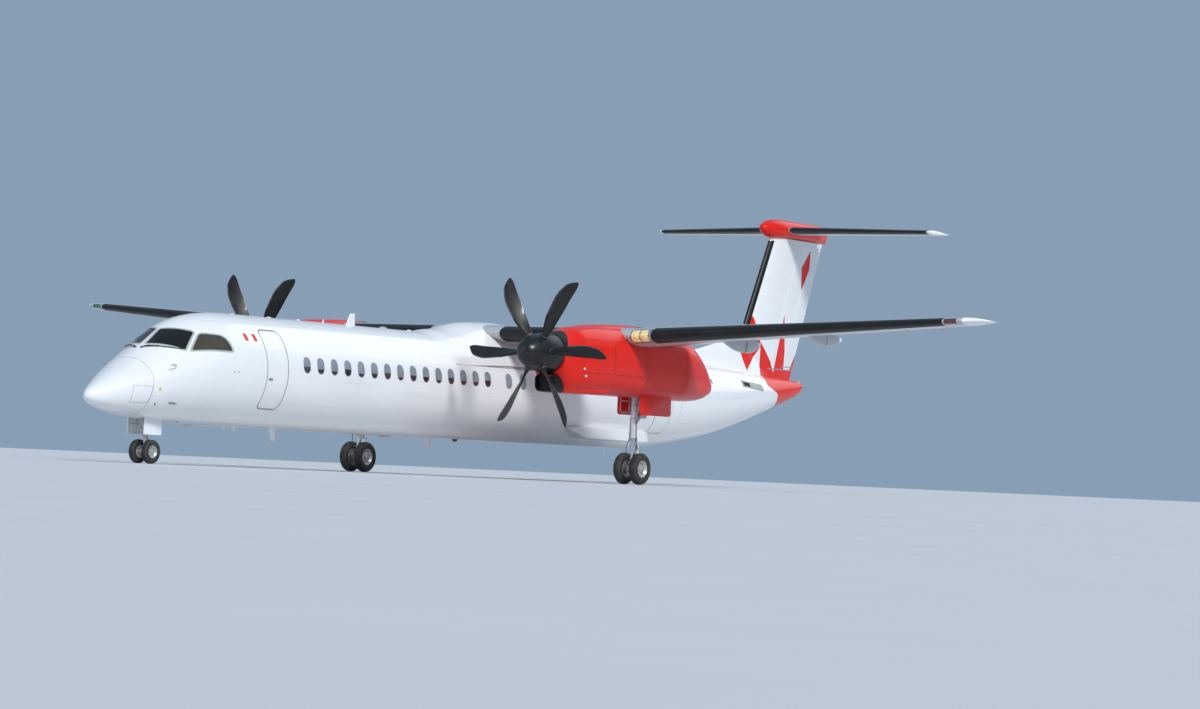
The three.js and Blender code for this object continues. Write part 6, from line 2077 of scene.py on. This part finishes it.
class AIRLINER_OT_stage(bpy.types.Operator):
    """Set the pale floor, the soft lights and the camera"""

    bl_idname = "airliner.stage"
    bl_label = "Stage"

    def execute(self, context):
        bm = bmesh.new()
        bmesh.ops.create_grid(bm, x_segments=8, y_segments=8, size=FLOOR_SIZE)
        mesh = bpy.data.meshes.new("floor")
        bm.to_mesh(mesh)
        bm.free()
        floor = bpy.data.objects.new("floor", mesh)
        context.scene.collection.objects.link(floor)
        mesh.materials.append(finishes["floor_pale"])
        world = bpy.data.worlds.new("studio")
        context.scene.world = world
        world.use_nodes = True
        sky = world.node_tree.nodes["Background"].inputs
        sky["Color"].default_value = SKY_COLOUR
        sky["Strength"].default_value = SKY_STRENGTH
        for name, way, angle, power in SUNS:
            light = bpy.data.lights.new(name, "SUN")
            light.angle = math.radians(angle)
            light.energy = power
            lamp = bpy.data.objects.new(name, light)
            lamp.rotation_euler = Vector(way).to_track_quat("Z", "Y").to_euler()
            context.scene.collection.objects.link(lamp)
        context.scene.view_settings.view_transform = "Standard"
        self.camera(context)
        return {"FINISHED"}

    def camera(self, context):
        """Looks along the photograph's direction from just above the floor."""
        share = context.scene.airliner_sizes.camera_distance / 100
        azimuth, elevation, roll = (math.radians(angle) for angle in CAMERA_ANGLES)
        back = Vector((math.sin(azimuth) * math.cos(elevation), -math.cos(azimuth) * math.cos(elevation),
                       math.sin(elevation)))
        right = (-back).cross(Vector((0, 0, 1))).normalized()
        up = right.cross(-back)
        turned_right = math.cos(roll) * right + math.sin(roll) * up
        turned_up = -math.sin(roll) * right + math.cos(roll) * up
        lens = bpy.data.cameras.new("camera")
        lens.lens = CAMERA_LENS * share
        lens.sensor_width = 36
        lens.clip_end = 2000
        camera = bpy.data.objects.new("camera", lens)
        x, y = CAMERA_SPOT
        spot = Vector((x * share, y * share, CAMERA_HEIGHT))
        camera.matrix_world = Matrix.Translation(spot) @ Matrix((turned_right, turned_up, back)).transposed().to_4x4()
        context.scene.collection.objects.link(camera)
        context.scene.camera = camera


class AIRLINER_PT_panel(bpy.types.Panel):
    """Lists the colours, the sizes and the steps"""

    bl_idname = "AIRLINER_PT_panel"
    bl_label = "Airliner"
    bl_space_type = "VIEW_3D"
    bl_region_type = "UI"
    bl_category = "Airliner"

    def draw(self, context):
        for group in (context.scene.airliner_colours, context.scene.airliner_sizes):
            for name in group.__annotations__:
                self.layout.prop(group, name)
        for step in STEPS:
            self.layout.operator(step.bl_idname)


STEPS = (
    AIRLINER_OT_finishes, AIRLINER_OT_skins, AIRLINER_OT_door, AIRLINER_OT_fairings, AIRLINER_OT_wings,
    AIRLINER_OT_controls, AIRLINER_OT_tail, AIRLINER_OT_boots, AIRLINER_OT_nacelles, AIRLINER_OT_propellers,
    AIRLINER_OT_landing_gear, AIRLINER_OT_cockpit, AIRLINER_OT_fittings, AIRLINER_OT_stage,
)
CLASSES = (AirlinerColours, AirlinerSizes, *STEPS, AIRLINER_PT_panel)


def register():
    for each in CLASSES:
        bpy.utils.register_class(each)
    bpy.types.Scene.airliner_colours = bpy.props.PointerProperty(type=AirlinerColours)
    bpy.types.Scene.airliner_sizes = bpy.props.PointerProperty(type=AirlinerSizes)


def unregister():
    del bpy.types.Scene.airliner_sizes
    del bpy.types.Scene.airliner_colours
    for each in reversed(CLASSES):
        bpy.utils.unregister_class(each)


def main():
    register()
    bpy.ops.airliner.finishes()
    bpy.ops.airliner.skins()
    bpy.ops.airliner.door()
    bpy.ops.airliner.fairings()
    bpy.ops.airliner.wings()
    bpy.ops.airliner.controls()
    bpy.ops.airliner.tail()
    bpy.ops.airliner.boots()
    bpy.ops.airliner.nacelles()
    bpy.ops.airliner.propellers()
    bpy.ops.airliner.landing_gear()
    bpy.ops.airliner.cockpit()
    bpy.ops.airliner.fittings()
    bpy.ops.airliner.stage()


if __name__ == "__main__":
    main()
